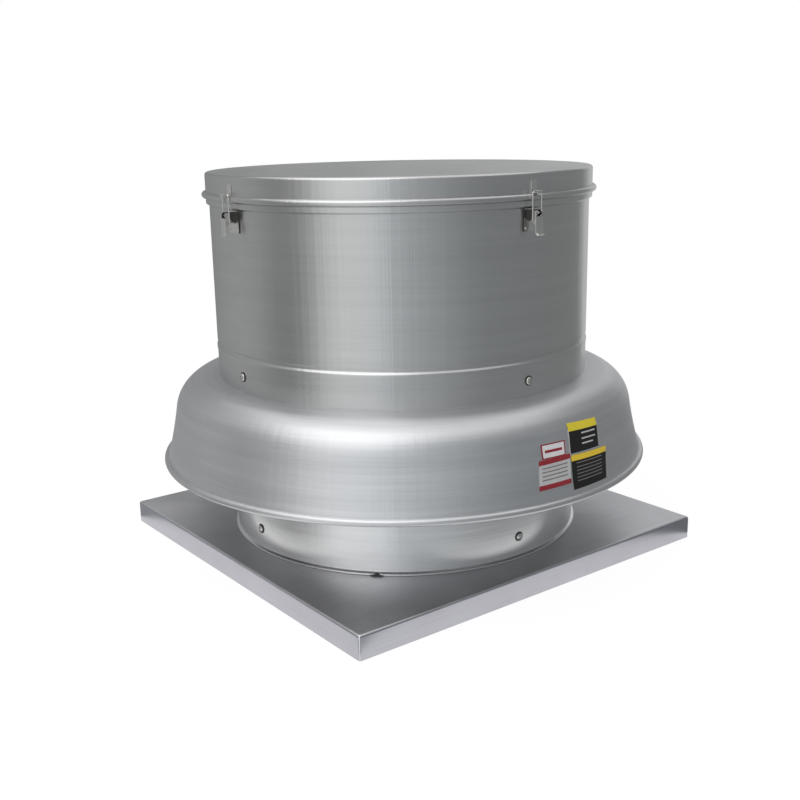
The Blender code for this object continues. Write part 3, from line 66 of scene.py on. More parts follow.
def new_object(name, data):
    """A new object in the scene that shows data."""
    made = bpy.data.objects.new(name, data)
    bpy.context.scene.collection.objects.link(made)
    return made


camera_data = bpy.data.cameras.new("camera")
camera_data.lens = CAMERA_LENS
camera = new_object("camera", camera_data)
turn = Matrix((CAMERA_RIGHT, CAMERA_UP, CAMERA_BACK)).transposed().to_4x4()
camera.matrix_world = Matrix.Translation(CAMERA_PLACE) @ turn
bpy.context.scene.camera = camera
camera_azimuth = atan2(CAMERA_BACK[0], -CAMERA_BACK[1])
print("camera azimuth", round(degrees(camera_azimuth), 2), "degrees, lens", CAMERA_LENS, "mm")

# %% [markdown]
# ## Shader helpers
# A finish is a small network of nodes around one Principled shader. Four helpers keep the cells short. One adds
# a node and plugs it in, one starts a finish, and one lets a noise vary its colour and roughness. The last gives
# the coordinates that follow a turned part, which are its radius, its height and the angle round its axis.

# %% Shader helpers
def add_node(tree, kind, values=None, links=None):
    """Add a node, set its plain inputs and properties, and plug other sockets into it."""
    node = tree.nodes.new(kind)
    for key, value in (values or {}).items():
        if isinstance(key, str) and hasattr(node, key) and key not in node.inputs:
            setattr(node, key, value)
        else:
            node.inputs[key].default_value = value
    for key, socket in (links or {}).items():
        tree.links.new(socket, node.inputs[key])
    return node


def start_finish(name, colour, roughness, metallic):
    """A new material with its Principled shader set, and its tree."""
    made = bpy.data.materials.new(name)
    made.use_nodes = True
    shader = made.node_tree.nodes["Principled BSDF"]
    shader.inputs["Base Color"].default_value = (*colour, 1.0)
    shader.inputs["Roughness"].default_value = roughness
    shader.inputs["Metallic"].default_value = metallic
    return made, made.node_tree, shader


def vary(tree, shader, noise, colour, tones, tone_reach, roughness, spread, rough_reach):
    """Let a noise move the colour between two factors, and the roughness by spread to each side."""
    rough = add_node(tree, "ShaderNodeMapRange",
                     {"From Min": rough_reach[0], "From Max": rough_reach[1],
                      "To Min": roughness - spread, "To Max": roughness + spread}, {"Value": noise})
    tree.links.new(rough.outputs[0], shader.inputs["Roughness"])
    share = add_node(tree, "ShaderNodeMapRange", {"From Min": tone_reach[0], "From Max": tone_reach[1]},
                     {"Value": noise})
    ramp = add_node(tree, "ShaderNodeValToRGB", links={0: share.outputs[0]})
    for stop, factor in zip(ramp.color_ramp.elements, tones):
        stop.color = (*(min(1.0, c * factor) for c in colour), 1.0)
    tree.links.new(ramp.outputs[0], shader.inputs["Base Color"])


def turning_coordinates(tree):
    """Radius, height and angle round Z, from the object's own coordinates."""
    place = add_node(tree, "ShaderNodeTexCoord").outputs["Object"]
    split = add_node(tree, "ShaderNodeSeparateXYZ", links={0: place})
    flat = add_node(tree, "ShaderNodeCombineXYZ", links={0: split.outputs[0], 1: split.outputs[1]})
    radius = add_node(tree, "ShaderNodeVectorMath", {"operation": "LENGTH"}, {0: flat.outputs[0]})
    angle = add_node(tree, "ShaderNodeMath", {"operation": "ARCTAN2"}, {0: split.outputs[1], 1: split.outputs[0]})
    return place, radius.outputs["Value"], split.outputs[2], angle.outputs[0]


print("helpers ready")

# %% [markdown]
# ## Spun aluminium
# Metal spinning presses a disc over a turning form, and the tool leaves fine grooves round the axis. The grooves
# stretch each highlight across them, so a drum shows soft upright bands. A noise that changes fast along radius
# and height, and hardly at all with the angle, gives the grooves, and the shader's anisotropy stretches the
# highlights. A second noise along the angle alone adds the faint flats that rolling leaves, which break a
# reflection into fine upright streaks.

# %% Spun aluminium
def spun_finish(name, colour, roughness, stretch=0.6, streaks=0.05, grooves=420.0, waves=20.0):
    """A turned finish with fine grooves round the axis and a few flats along the angle."""
    made, tree, shader = start_finish(name, colour, roughness, 1.0)
    place, radius, height, angle = turning_coordinates(tree)
    slow = add_node(tree, "ShaderNodeMath", {"operation": "MULTIPLY", 1: 0.006}, {0: angle}).outputs[0]
    along = add_node(tree, "ShaderNodeCombineXYZ", links={0: radius, 1: height, 2: slow}).outputs[0]
    lines = add_node(tree, "ShaderNodeTexNoise", {"Scale": grooves, "Detail": 4.0, "Roughness": 0.6},
                     {"Vector": along}).outputs["Fac"]
    bands = add_node(tree, "ShaderNodeTexNoise", {"Scale": 70.0, "Detail": 2.0}, {"Vector": along}).outputs["Fac"]
    clouds = add_node(tree, "ShaderNodeTexNoise", {"Scale": 5.0, "Detail": 2.0}, {"Vector": place}).outputs["Fac"]
    both = add_node(tree, "ShaderNodeMath", {"operation": "ADD"}, {0: lines, 1: bands}).outputs[0]
    mixed = add_node(tree, "ShaderNodeMath", {"operation": "ADD"}, {0: both, 1: clouds}).outputs[0]
    vary(tree, shader, mixed, colour, (1 - streaks, 1 + streaks), (1.15, 1.85), roughness, 0.04, (0.9, 2.1))
    turned = add_node(tree, "ShaderNodeMath", {"operation": "MULTIPLY", 1: waves}, {0: angle}).outputs[0]
    rolled = add_node(tree, "ShaderNodeCombineXYZ", links={0: turned}).outputs[0]
    flats = add_node(tree, "ShaderNodeTexNoise", {"Scale": 1.0, "Detail": 3.0, "Roughness": 0.7},
                     {"Vector": rolled}).outputs["Fac"]
    wavy = add_node(tree, "ShaderNodeBump", {"Strength": 1.0, "Distance": 0.00045}, {"Height": flats})
    bump = add_node(tree, "ShaderNodeBump", {"Strength": 0.2, "Distance": 0.00004},
                    {"Height": lines, "Normal": wavy.outputs[0]})
    tree.links.new(bump.outputs[0], shader.inputs["Normal"])
    around = add_node(tree, "ShaderNodeTangent", {"direction_type": "RADIAL", "axis": "Z"})
    tree.links.new(around.outputs[0], shader.inputs["Tangent"])
    shader.inputs["Anisotropic"].default_value = stretch
    shader.inputs["Anisotropic Rotation"].default_value = 0.25
    return made


def add_seam(finish, angle, width):
    """A fine upright welding seam in a turned finish: a shallow, slightly duller line at one angle."""
    tree = finish.node_tree
    around = turning_coordinates(tree)[-1]
    line = add_node(tree, "ShaderNodeMath", {"operation": "COMPARE", 1: angle, 2: width}, {0: around}).outputs[0]
    shader = tree.nodes["Principled BSDF"]
    under = shader.inputs["Normal"].links[0].from_socket
    groove = add_node(tree, "ShaderNodeBump", {"Strength": 0.8, "Distance": 0.0002, "invert": True},
                      {"Height": line, "Normal": under})
    tree.links.new(groove.outputs[0], shader.inputs["Normal"])
    dull = add_node(tree, "ShaderNodeMath", {"operation": "MULTIPLY_ADD", 1: 0.15},
                    {0: line, 2: shader.inputs["Roughness"].links[0].from_socket})
    tree.links.new(dull.outputs[0], shader.inputs["Roughness"])


ALUMINIUM = (0.62, 0.62, 0.615)
SEAM_ANGLE = radians(-68.0)
drum_finish = spun_finish("drum_aluminium", ALUMINIUM, 0.30, stretch=0.75)
# The hood's aluminium is lighter and a little cooler than the drum's: painted light and painted reflection
hood_painted_light_finish = spun_finish("hood_aluminium_painted_light", (0.70, 0.705, 0.715), 0.43, stretch=0.35, streaks=0.08)
lid_finish = spun_finish("lid_aluminium", ALUMINIUM, 0.30, stretch=0.65)
# The collar's aluminium is much lighter than the drum's: painted light
collar_painted_light_finish = spun_finish("collar_aluminium_painted_light", (0.84, 0.84, 0.84), 0.24, stretch=0.6)
wheel_finish = spun_finish("wheel_aluminium", (0.58, 0.59, 0.59), 0.42, stretch=0.4)
add_seam(drum_finish, SEAM_ANGLE, 0.0014)
print("five spun finishes, the drum's with a seam")

# %% [markdown]
# ## Flat sheet, plated steel, castings and paint
# The square cap is folded from mill-finish sheet, whose rolling lines run one way. Plated steel carries small
# soft spangles, cast aluminium is rough like orange peel, and the motor wears satin paint. Each finish varies a
# little in colour and in roughness, because a surface of one flat value looks like plastic.

# %% Other finishes
def grained_finish(name, colour, roughness, metallic, stretch, size, depth, spread=0.06):
    """A finish whose noise is stretched along the axes by the factors in stretch."""
    made, tree, shader = start_finish(name, colour, roughness, metallic)
    place = add_node(tree, "ShaderNodeTexCoord").outputs["Object"]
    scaled = add_node(tree, "ShaderNodeMapping", {"Scale": stretch}, {"Vector": place}).outputs[0]
    grain = add_node(tree, "ShaderNodeTexNoise", {"Scale": size, "Detail": 4.0, "Roughness": 0.6},
                     {"Vector": scaled}).outputs["Fac"]
    clouds = add_node(tree, "ShaderNodeTexNoise", {"Scale": 14.0, "Detail": 3.0}, {"Vector": place}).outputs["Fac"]
    mixed = add_node(tree, "ShaderNodeMath", {"operation": "ADD"}, {0: grain, 1: clouds}).outputs[0]
    vary(tree, shader, mixed, colour, (0.9, 1.08), (0.7, 1.3), roughness, spread, (0.6, 1.4))
    bump = add_node(tree, "ShaderNodeBump", {"Strength": 0.3, "Distance": depth}, {"Height": grain})
    tree.links.new(bump.outputs[0], shader.inputs["Normal"])
    return made


EVEN = (1.0, 1.0, 1.0)
# The cap's top and folded edges are one mill-finish sheet. The top is lighter as painted light; the edges are
# darker and lilac as painted shade and painted reflection.
cap_top_painted_light_finish = grained_finish("cap_sheet", (0.70, 0.70, 0.72), 0.42, 1.0, (0.02, 1.0, 0.6), 330.0, 0.00004)
cap_side_painted_shade_finish = grained_finish("cap_edge_painted_shade", (0.50, 0.50, 0.54), 0.33, 1.0, (0.02, 0.02, 1.0), 330.0, 0.00004)
lid_sheet_finish = grained_finish("lid_sheet", (0.60, 0.60, 0.60), 0.34, 1.0, (1.0, 0.02, 0.6), 330.0, 0.00002)
plated_finish = grained_finish("zinc_plating", (0.66, 0.65, 0.62), 0.30, 1.0, EVEN, 260.0, 0.0001)
latch_finish = grained_finish("latch_steel", (0.74, 0.73, 0.70), 0.18, 1.0, EVEN, 340.0, 0.00005)
# A near-black steel for the sides of the latch ears: painted shade
ear_painted_shade_finish = grained_finish("latch_ear_painted_shade", (0.10, 0.10, 0.095), 0.35, 1.0, EVEN, 340.0, 0.00005)
galvanised_finish = grained_finish("galvanised_steel", (0.52, 0.53, 0.54), 0.45, 1.0, EVEN, 60.0, 0.0001, 0.1)
cast_finish = grained_finish("cast_aluminium", (0.46, 0.47, 0.48), 0.55, 1.0, EVEN, 420.0, 0.0004)
paint_finish = grained_finish("motor_paint", (0.16, 0.19, 0.21), 0.42, 0.0, EVEN, 500.0, 0.0002)
copper_finish = grained_finish("winding_copper", (0.62, 0.30, 0.16), 0.35, 1.0, (1.0, 1.0, 0.05), 700.0, 0.0005)
plastic_finish = grained_finish("black_plastic", (0.03, 0.03, 0.03), 0.45, 0.0, EVEN, 600.0, 0.0002)
print("eleven more finishes")

# %% [markdown]
# ## Turned shells
# Every big part here is a solid of revolution. Its outline is drawn once, as a closed loop of points in radius
# and height, and Blender's Spin operator sweeps the loop round the axis. Corners that a press would leave round
# are softened first with a short curve.

# %% Turning helpers
TURNS = 192


def arc(centre, radius, start, end, steps):
    """Points on a circle from one angle to another."""
    return [(centre[0] + radius * cos(start + (end - start) * k / steps),
             centre[1] + radius * sin(start + (end - start) * k / steps)) for k in range(steps + 1)]


def softened(loop, size, steps=3):
    """A closed outline whose corners become short curves that reach size along each side."""
    points = [Vector(p) for p in loop]
    result = []
    for before, corner, after in zip(points[-1:] + points[:-1], points, points[1:] + points[:1]):
        back, ahead = before - corner, after - corner
        if back.length < 1e-9 or ahead.length < 1e-9 or back.angle(ahead) > radians(150.0):
            result.append(tuple(corner))
            continue
        first = corner + back.normalized() * min(size, back.length * 0.45)
        last = corner + ahead.normalized() * min(size, ahead.length * 0.45)
        for k in range(steps + 1):
            t = k / steps
            result.append(tuple(first * (1 - t) ** 2 + corner * 2 * t * (1 - t) + last * t ** 2))
    return result


def finish_mesh(body, name, edge=35.0):
    """Turn a bmesh into a mesh with outward faces, smooth but for its real edges."""
    bmesh.ops.remove_doubles(body, verts=body.verts, dist=1e-6)
    bmesh.ops.recalc_face_normals(body, faces=body.faces)
    if body.calc_volume(signed=True) < 0:
        bmesh.ops.reverse_faces(body, faces=body.faces)
    mesh = bpy.data.meshes.new(name)
    body.to_mesh(mesh)
    body.free()
    mesh.shade_smooth()
    mesh.set_sharp_from_angle(angle=radians(edge))
    return mesh


def turned_mesh(name, loop, steps=TURNS):
    """Sweep a closed outline of (radius, height) round Z."""
    body = bmesh.new()
    points = [body.verts.new((r, 0.0, z)) for r, z in loop]
    edges = [body.edges.new((a, b)) for a, b in zip(points, points[1:] + points[:1]) if a.co.x + b.co.x > 1e-9]
    bmesh.ops.spin(body, geom=points + edges, axis=(0, 0, 1), cent=(0, 0, 0), dvec=(0, 0, 0),
                   angle=2 * pi, steps=steps, use_merge=True, use_duplicate=False)
    return finish_mesh(body, name)


def place_piece(name, mesh, finish, body="root", stands_for=()):
    """Link a piece, give it its finish and let it ride on a body."""
    piece = new_object(name, mesh)
    if not mesh.materials:
        mesh.materials.append(finish)
    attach(piece, body)
    if stands_for:
        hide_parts(*stands_for)
    return piece


def turned_piece(name, loop, finish, node, body="root"):
    """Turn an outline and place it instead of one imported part."""
    return place_piece(name, turned_mesh(name, loop), finish, body, [node])


def offset_inside(path, sheet):
    """The other face of a sheet whose outer face follows path from top to bottom."""
    points = [Vector(p) for p in path]
    result = []
    for k, point in enumerate(points):
        along = (points[min(k + 1, len(points) - 1)] - points[max(k - 1, 0)]).normalized()
        result.append(tuple(point + Vector((along.y, -along.x)) * sheet))
    return result


print("turning helpers ready,", TURNS, "steps to a turn")

# %% [markdown]
# ## Hood
# The hood is one spinning: an upright neck inside the drum, a rounded shoulder, a skirt that flares out, and a
# bead rolled over a wire along the rim. The outline is an arc, then a quadratic curve for the skirt, then most
# of a circle for the bead. Its inner face follows at the thickness of the sheet.

# %% Hood
SHEET = 0.0015
NECK_RADIUS = 0.2822
NECK_TOP = 0.312
HOOD_CORNER = 0.2773
SHOULDER_ROUND = 0.054
SHOULDER_CENTRE = (0.29856, 0.22274)
RIM_CENTRE = (0.3706, 0.1516)
RIM_BEAD = 0.0048
SKIRT_SLOPE = radians(9.0)


def hood_outside():
    """Outer face of the hood from its neck down to the rim's bead."""
    path = [(NECK_RADIUS, NECK_TOP), (NECK_RADIUS, HOOD_CORNER + 0.002),
            (NECK_RADIUS + 0.0006, HOOD_CORNER + 0.0006)]
    path += arc(SHOULDER_CENTRE, SHOULDER_ROUND, radians(88.0), SKIRT_SLOPE, 22)
    start = Vector(path[-1])
    end = Vector(arc(RIM_CENTRE, RIM_BEAD, radians(114.0), 0.0, 1)[0])
    guide = start + Vector((sin(SKIRT_SLOPE), -cos(SKIRT_SLOPE))) * (end - start).length / 2
    for k in range(1, 15):
        t = k / 14
        path.append(tuple(start * (1 - t) ** 2 + guide * 2 * t * (1 - t) + end * t ** 2))
    return path


hood_line = hood_outside()
rim_roll = arc(RIM_CENTRE, RIM_BEAD, radians(96.0), radians(-180.0), 22)
hood_loop = hood_line + rim_roll + offset_inside(hood_line, SHEET)[::-1]
hood = turned_piece("spun_hood", hood_loop, hood_painted_light_finish, "hood")
print("hood outline of", len(hood_loop), "points,", len(hood.data.polygons), "faces")

# %% [markdown]
# ## Drum
# The drum is the upright shell over the motor. Near its top a rolled hem carries the lid, and low down runs a
# pressed groove with a raised rib under it. Such small steps catch a bright and a dark line all the way round,
# so they're worth real geometry.

# %% Drum
DRUM_RADIUS = 0.284
DRUM_TOP = 0.568
DRUM_FOOT = 0.2776
HEM_TOP = 0.5435
HEM_FOOT = 0.5335
HEM_RADIUS = 0.2885
HEM_SLOPE = 0.0004
HEM_BEND = 0.002
GROOVE = 0.3292
GROOVE_DEPTH = 0.0018
GROOVE_HALF = 0.0043
GROOVE_FLOOR = 0.0013
RIB_TOP = 0.32495
RIB_PROUD = 0.0008
RIB_FLAT = 0.004
RIB_WIDTH = 0.006

drum_loop = softened([
    (DRUM_RADIUS, DRUM_TOP), (DRUM_RADIUS, HEM_TOP + HEM_SLOPE),
    (HEM_RADIUS, HEM_TOP), (HEM_RADIUS, HEM_FOOT + HEM_BEND),
    (DRUM_RADIUS, HEM_FOOT), (DRUM_RADIUS, GROOVE + GROOVE_HALF),
    (DRUM_RADIUS - GROOVE_DEPTH, GROOVE + GROOVE_FLOOR), (DRUM_RADIUS - GROOVE_DEPTH, GROOVE - GROOVE_FLOOR),
    (DRUM_RADIUS + RIB_PROUD, RIB_TOP), (DRUM_RADIUS + RIB_PROUD, RIB_TOP - RIB_FLAT),
    (DRUM_RADIUS, RIB_TOP - RIB_WIDTH), (DRUM_RADIUS, DRUM_FOOT),
    (DRUM_RADIUS - SHEET, DRUM_FOOT), (DRUM_RADIUS - SHEET, RIB_TOP),
    (DRUM_RADIUS - GROOVE_DEPTH - SHEET, GROOVE), (DRUM_RADIUS - SHEET, GROOVE + GROOVE_HALF),
    (DRUM_RADIUS - SHEET, DRUM_TOP)], 0.0009, 4)
turned_piece("spun_drum", drum_loop, drum_finish, "drum")
print("drum outline of", len(drum_loop), "points")

# %% [markdown]
# ## Lid
# The lid is a shallow pan. Its top turns down through a small radius, and its foot ends in a rolled bead that
# rests on the drum's hem. The tool never touched the flat top, so that keeps the straight rolling lines of the
# sheet, as a second material on the faces that look up.

# %% Lid
LID_RADIUS = 0.2885
LID_TOP = 0.580
LID_ROUND = 0.004
LID_BEAD = 0.0045
LID_BEAD_CENTRE = (0.290, 0.54804)

lid_loop = [(0.0, LID_TOP)]
lid_loop += arc((LID_RADIUS - LID_ROUND, LID_TOP - LID_ROUND), LID_ROUND, pi / 2, 0.0, 8)
lid_loop += arc(LID_BEAD_CENTRE, LID_BEAD, radians(109.5), radians(-162.5), 20)
lid_loop += [(LID_RADIUS - SHEET, LID_BEAD_CENTRE[1])]
lid_loop += arc((LID_RADIUS - LID_ROUND, LID_TOP - LID_ROUND), LID_ROUND - SHEET, 0.0, pi / 2, 5)
lid_loop += [(0.0, LID_TOP - SHEET)]
lid = turned_piece("lid_pan", lid_loop, lid_finish, "lid")
lid.data.materials.append(lid_sheet_finish)
flat = [face for face in lid.data.polygons if face.normal.z > 0.99]
for face in flat:
    face.material_index = 1
print(len(flat), "flat faces of the lid; its bead stands out to", round(LID_BEAD_CENTRE[0] + LID_BEAD, 4))

# %% [markdown]
# ## Collar
# The round collar stands on the cap under the hood and holds the legs. A narrow foot is turned out at its lower
# edge, where it's spot-welded to the cap.

# %% Collar
COLLAR_RADIUS = 0.2677
COLLAR_TOP = 0.128
DECK = 0.0348
COLLAR_SHEET = 0.002
FOOT_WIDTH = 0.004
FOOT_HEIGHT = 0.0026
FOOT_BEND = 0.005

collar_loop = softened([
    (COLLAR_RADIUS, COLLAR_TOP), (COLLAR_RADIUS, DECK + FOOT_BEND),
    (COLLAR_RADIUS + FOOT_WIDTH, DECK + FOOT_HEIGHT), (COLLAR_RADIUS + FOOT_WIDTH, DECK),
    (COLLAR_RADIUS - COLLAR_SHEET, DECK), (COLLAR_RADIUS - COLLAR_SHEET, COLLAR_TOP)], 0.0006)
collar = turned_piece("collar_shell", collar_loop, collar_painted_light_finish, "collar")
print("collar from", DECK, "to", COLLAR_TOP)

# %% [markdown]
# ## Square cap
# The cap is a square sheet with its edges folded down, so it can sit over a roof curb. Each ring of the mesh is
# a square with small round corners, and the last one is the round hole under the inlet. Both kinds of ring have
# the same number of points, so quads join them without a gap.

# %% Square cap
CAP_HALF = 0.320
CAP_HEIGHT = 0.0345
CAP_SHEET = 0.002
CAP_BEND = 0.004
CAP_CORNER = 0.0035
CORNER_TAPER = 0.7
CORNER_LEAST = 0.0005
CORNER_INSIDE = 0.001
CAP_HOLE = 0.180
SIDE_STEPS = 20
CORNER_STEPS = 5


def square_ring(half, height, corner):
    """Points of a square with round corners, counted from the first corner."""
    ring = []
    reach = half - corner
    for quarter in range(4):
        turn = quarter * pi / 2
        local = arc((reach, reach), corner, 0.0, pi / 2, CORNER_STEPS)
        local += [(reach - 2 * reach * k / SIDE_STEPS, half) for k in range(1, SIDE_STEPS)]
        ring += [(x * cos(turn) - y * sin(turn), x * sin(turn) + y * cos(turn), height) for x, y in local]
    return ring


def joined_rings(name, rings):
    """A closed tube of rings whose last ring joins the first."""
    body = bmesh.new()
    rows = [[body.verts.new(p) for p in ring] for ring in rings]
    count = len(rings[0])
    for near, far in zip(rows, rows[1:] + rows[:1]):
        for k in range(count):
            body.faces.new((near[k], near[(k + 1) % count], far[(k + 1) % count], far[k]))
    return finish_mesh(body, name)


cap_rings = [square_ring(CAP_HALF, 0.0, CAP_CORNER)]
for radius, height in arc((CAP_HALF - CAP_BEND, CAP_HEIGHT - CAP_BEND), CAP_BEND, 0.0, pi / 2, 7):
    corner = max(CORNER_LEAST, CAP_CORNER - (CAP_HALF - radius) * CORNER_TAPER)
    cap_rings.append(square_ring(radius, height, corner))
outer = square_ring(CAP_HALF, 0.0, CAP_CORNER)
hole = [Vector((x, y, 0.0)).normalized() * CAP_HOLE for x, y, z in outer]
cap_rings.append([(x, y, CAP_HEIGHT) for x, y, z in hole])
cap_rings.append([(x, y, CAP_HEIGHT - CAP_SHEET) for x, y, z in hole])
for inset, height in ((2 * CAP_SHEET, CAP_HEIGHT - CAP_SHEET), (CAP_SHEET, CAP_HEIGHT - 2 * CAP_SHEET),
                      (CAP_SHEET, 0.0)):
    cap_rings.append(square_ring(CAP_HALF - inset, height, CORNER_INSIDE))
cap = place_piece("square_cap", joined_rings("square_cap", cap_rings), cap_top_painted_light_finish,
                  stands_for=["curb_cap"])
# The upright folds take the darker, lilac copy as painted shade; faces that look up or down keep the lighter top
# as painted light.
cap.data.materials.append(cap_side_painted_shade_finish)
for face in cap.data.polygons:
    face.material_index = 0 if abs(face.normal.z) > 0.7 else 1
print("cap of", len(cap_rings), "rings of", len(outer), "points")

# %% [markdown]
# ## Cutting small shapes
# A notch or a screw's cross recess is easiest to cut with a Boolean modifier. The helper applies the modifier at
# once and throws the cutter away, so nothing hidden stays in the scene.

# %% Cutting helper
def block(body, low, high, place=Matrix.Identity(4)):
    """Add a box to a bmesh, from its lowest to its highest corner, then moved by place."""
    middle = [(a + b) / 2 for a, b in zip(low, high)]
    size = [b - a for a, b in zip(low, high)]
    shape = place @ Matrix.Translation(middle) @ Matrix.Diagonal((*size, 1.0))
    bmesh.ops.create_cube(body, size=1.0, matrix=shape)


def cut_away(piece, cutter_body):
    """Subtract a bmesh from a piece for good."""
    cutter_mesh = bpy.data.meshes.new("cutter")
    cutter_body.to_mesh(cutter_mesh)
    cutter_body.free()
    cutter = new_object("cutter", cutter_mesh)
    step = piece.modifiers.new("cut", "BOOLEAN")
    step.operation = "DIFFERENCE"
    step.solver = "EXACT"
    step.object = cutter
    bpy.context.view_layer.update()
    shaped = bpy.data.meshes.new_from_object(piece.evaluated_get(bpy.context.evaluated_depsgraph_get()))
    piece.modifiers.remove(step)
    old = piece.data
    piece.data = shaped
    bpy.data.meshes.remove(old)
    bpy.data.objects.remove(cutter)
    bpy.data.meshes.remove(cutter_mesh)
    return len(shaped.polygons)


print("cutting helper ready")

# %% [markdown]
# ## Folded corners and the notch in the collar's foot
# A sheet can't stretch round a corner, so the cap's edges are cut there, folded and left with a fine upright
# slit and a small relief hole. The collar's foot ring is nicked in one place, where the strip's ends meet.

# %% Corners and notch
SLIT_WIDTH = 0.0007
SLIT_TOP = 0.0305
SLIT_INWARD = 0.006
SLIT_OUTWARD = 0.004
SLIT_BELOW = 0.002
RELIEF_RADIUS = 0.0011
RELIEF_INWARD = 0.002
RELIEF_LENGTH = 0.008
NOTCH_ANGLE = radians(-136.0)
NOTCH_WIDTH = 0.019
NOTCH_HEIGHT = 0.0042
NOTCH_TIP = 0.0012
NOTCH_INWARD = 0.0045
NOTCH_OUTWARD = 0.008
NOTCH_BELOW = 0.001

slits = bmesh.new()
reliefs = bmesh.new()
diagonal = (CAP_HALF - CAP_CORNER) * sqrt(2.0) + CAP_CORNER
for quarter in range(4):
    turn = Matrix.Rotation(radians(45.0 + 90.0 * quarter), 4, "Z")
    block(slits, (diagonal - SLIT_INWARD, -SLIT_WIDTH / 2, -SLIT_BELOW),
          (diagonal + SLIT_OUTWARD, SLIT_WIDTH / 2, SLIT_TOP), turn)
    across = (turn @ Matrix.Translation((diagonal - RELIEF_INWARD, 0.0, SLIT_TOP))
              @ Matrix.Rotation(pi / 2, 4, "Y"))
    bmesh.ops.create_cone(reliefs, cap_ends=True, segments=12, radius1=RELIEF_RADIUS, radius2=RELIEF_RADIUS,
                          depth=RELIEF_LENGTH, matrix=across)
print("cap has", cut_away(cap, slits), "faces with its slits")
print("and", cut_away(cap, reliefs), "with the relief holes")

wedge = bmesh.new()
base = [(-NOTCH_WIDTH / 2, -NOTCH_BELOW), (NOTCH_WIDTH / 2, -NOTCH_BELOW),
        (NOTCH_TIP, NOTCH_HEIGHT), (-NOTCH_TIP, NOTCH_HEIGHT)]
near = [wedge.verts.new((COLLAR_RADIUS - NOTCH_INWARD, y, DECK + z)) for y, z in base]
far = [wedge.verts.new((COLLAR_RADIUS + NOTCH_OUTWARD, y, DECK + z)) for y, z in base]
wedge.faces.new(near[::-1])
wedge.faces.new(far)
for k in range(4):
    wedge.faces.new((near[k], near[(k + 1) % 4], far[(k + 1) % 4], far[k]))
wedge.transform(Matrix.Rotation(NOTCH_ANGLE, 4, "Z"))
bmesh.ops.recalc_face_normals(wedge, faces=wedge.faces)
print("collar has", cut_away(collar, wedge), "faces with its notch")

# %% [markdown]
# ## Screws
# The shell is held by pan-head screws with a cross recess, each over a thin dark sealing washer that also stands
# in as painted shade round the head. One head is turned and cut once, and its mesh is shared by all eight places.

# %% Screws
HEAD_RADIUS = 0.0055
HEAD_HEIGHT = 0.0031
HEAD_SIDE = 0.0008
HEAD_FOOT = 0.0004
RECESS_LENGTH = 0.0062
RECESS_WIDTH = 0.0012
RECESS_FLOOR = 0.0014
RECESS_TURN = 0.4
CUT_ABOVE = 0.006
WASHER_RADIUS = 0.0071
WASHER_HOLE = 0.003
WASHER_HEIGHT = 0.0007
SMALL_TURNS = 32

head_loop = [(0.0, HEAD_HEIGHT)]
head_loop += [(HEAD_RADIUS * sin(a), HEAD_SIDE + (HEAD_HEIGHT - HEAD_SIDE) * cos(a)) for a in
              [radians(10.0 * k) for k in range(1, 10)]]
head_loop += [(HEAD_RADIUS, HEAD_FOOT), (HEAD_RADIUS - HEAD_FOOT, 0.0), (0.0, 0.0)]
head_piece = new_object("head", turned_mesh("screw_head", head_loop, SMALL_TURNS))
for turn in (0.0, pi / 2):
    cross = bmesh.new()
    block(cross, (-RECESS_LENGTH / 2, -RECESS_WIDTH / 2, RECESS_FLOOR),
          (RECESS_LENGTH / 2, RECESS_WIDTH / 2, CUT_ABOVE), Matrix.Rotation(turn + RECESS_TURN, 4, "Z"))
    cut_away(head_piece, cross)
head_mesh = head_piece.data
bpy.data.objects.remove(head_piece)
washer_loop = [(WASHER_HOLE, 0.0), (WASHER_RADIUS, 0.0),
               (WASHER_RADIUS, WASHER_HEIGHT), (WASHER_HOLE, WASHER_HEIGHT)]
washer_mesh = turned_mesh("sealing_washer", softened(washer_loop, 0.0003), SMALL_TURNS)
screw_finish = grained_finish("screw_zinc", (0.74, 0.73, 0.70), 0.19, 1.0, EVEN, 300.0, 0.00004, 0.04)
# Near-black washer rubber: partly the washer's own colour, partly painted shade round each head
rubber_and_shade_finish = grained_finish("washer_rubber_and_shade", (0.05, 0.05, 0.05), 0.6, 0.0, EVEN, 500.0, 0.0001)
head_mesh.materials.append(screw_finish)
washer_mesh.materials.append(rubber_and_shade_finish)


def fasten(name, radius, height, turn, stands_for):
    """Put a washer and a head on a round face, with the head's axis along the radius."""
    for part, mesh, lift, slot in (("washer", washer_mesh, 0.0, "black_plastic"),
                                   ("head", head_mesh, WASHER_HEIGHT, "bright_steel")):
        piece = new_object(f"{name}_{part}", mesh)
        piece.matrix_world = (Matrix.Rotation(turn, 4, "Z") @ Matrix.Translation((radius + lift, 0.0, height))
                              @ Matrix.Rotation(pi / 2, 4, "Y"))
        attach(piece, "root")
    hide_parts(stands_for)


for number in range(1, 5):
    quarter = (number - 1) * pi / 2
    for row, radius in (("neck", DRUM_RADIUS), ("collar", COLLAR_RADIUS)):
        low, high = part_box(f"{row}_screw_{number}")
        height = (low[2] + high[2]) / 2
        fasten(f"{row}_screw_{number}", radius, height, quarter, f"{row}_screw_{number}")
print("eight screws, one head of", len(head_mesh.polygons), "faces")

# %% [markdown]
# ## Toggle latches
# Four toggle latches hold the lid down. Each has a base plate with two ears, a lever on a pin, a wire bail and a
# hook on the lid. Pressed steel has rounded edges, so each imported part is copied, cleaned of its extra cuts and
# given a small bevel. The plates that lie against the round shells are bent to them, and the sides of the ears
# are coloured near black as painted shade.

# %% Latch parts
LATCH_EDGE = 0.0003
PLATE_BACK = 0.28322
HOOK_BACK = 0.28770
BEND_LINES = (-0.0087, -0.0043, 0.0, 0.0043, 0.0087)
BEND_REACH = 0.0016
SHELL_GAP = 0.0001


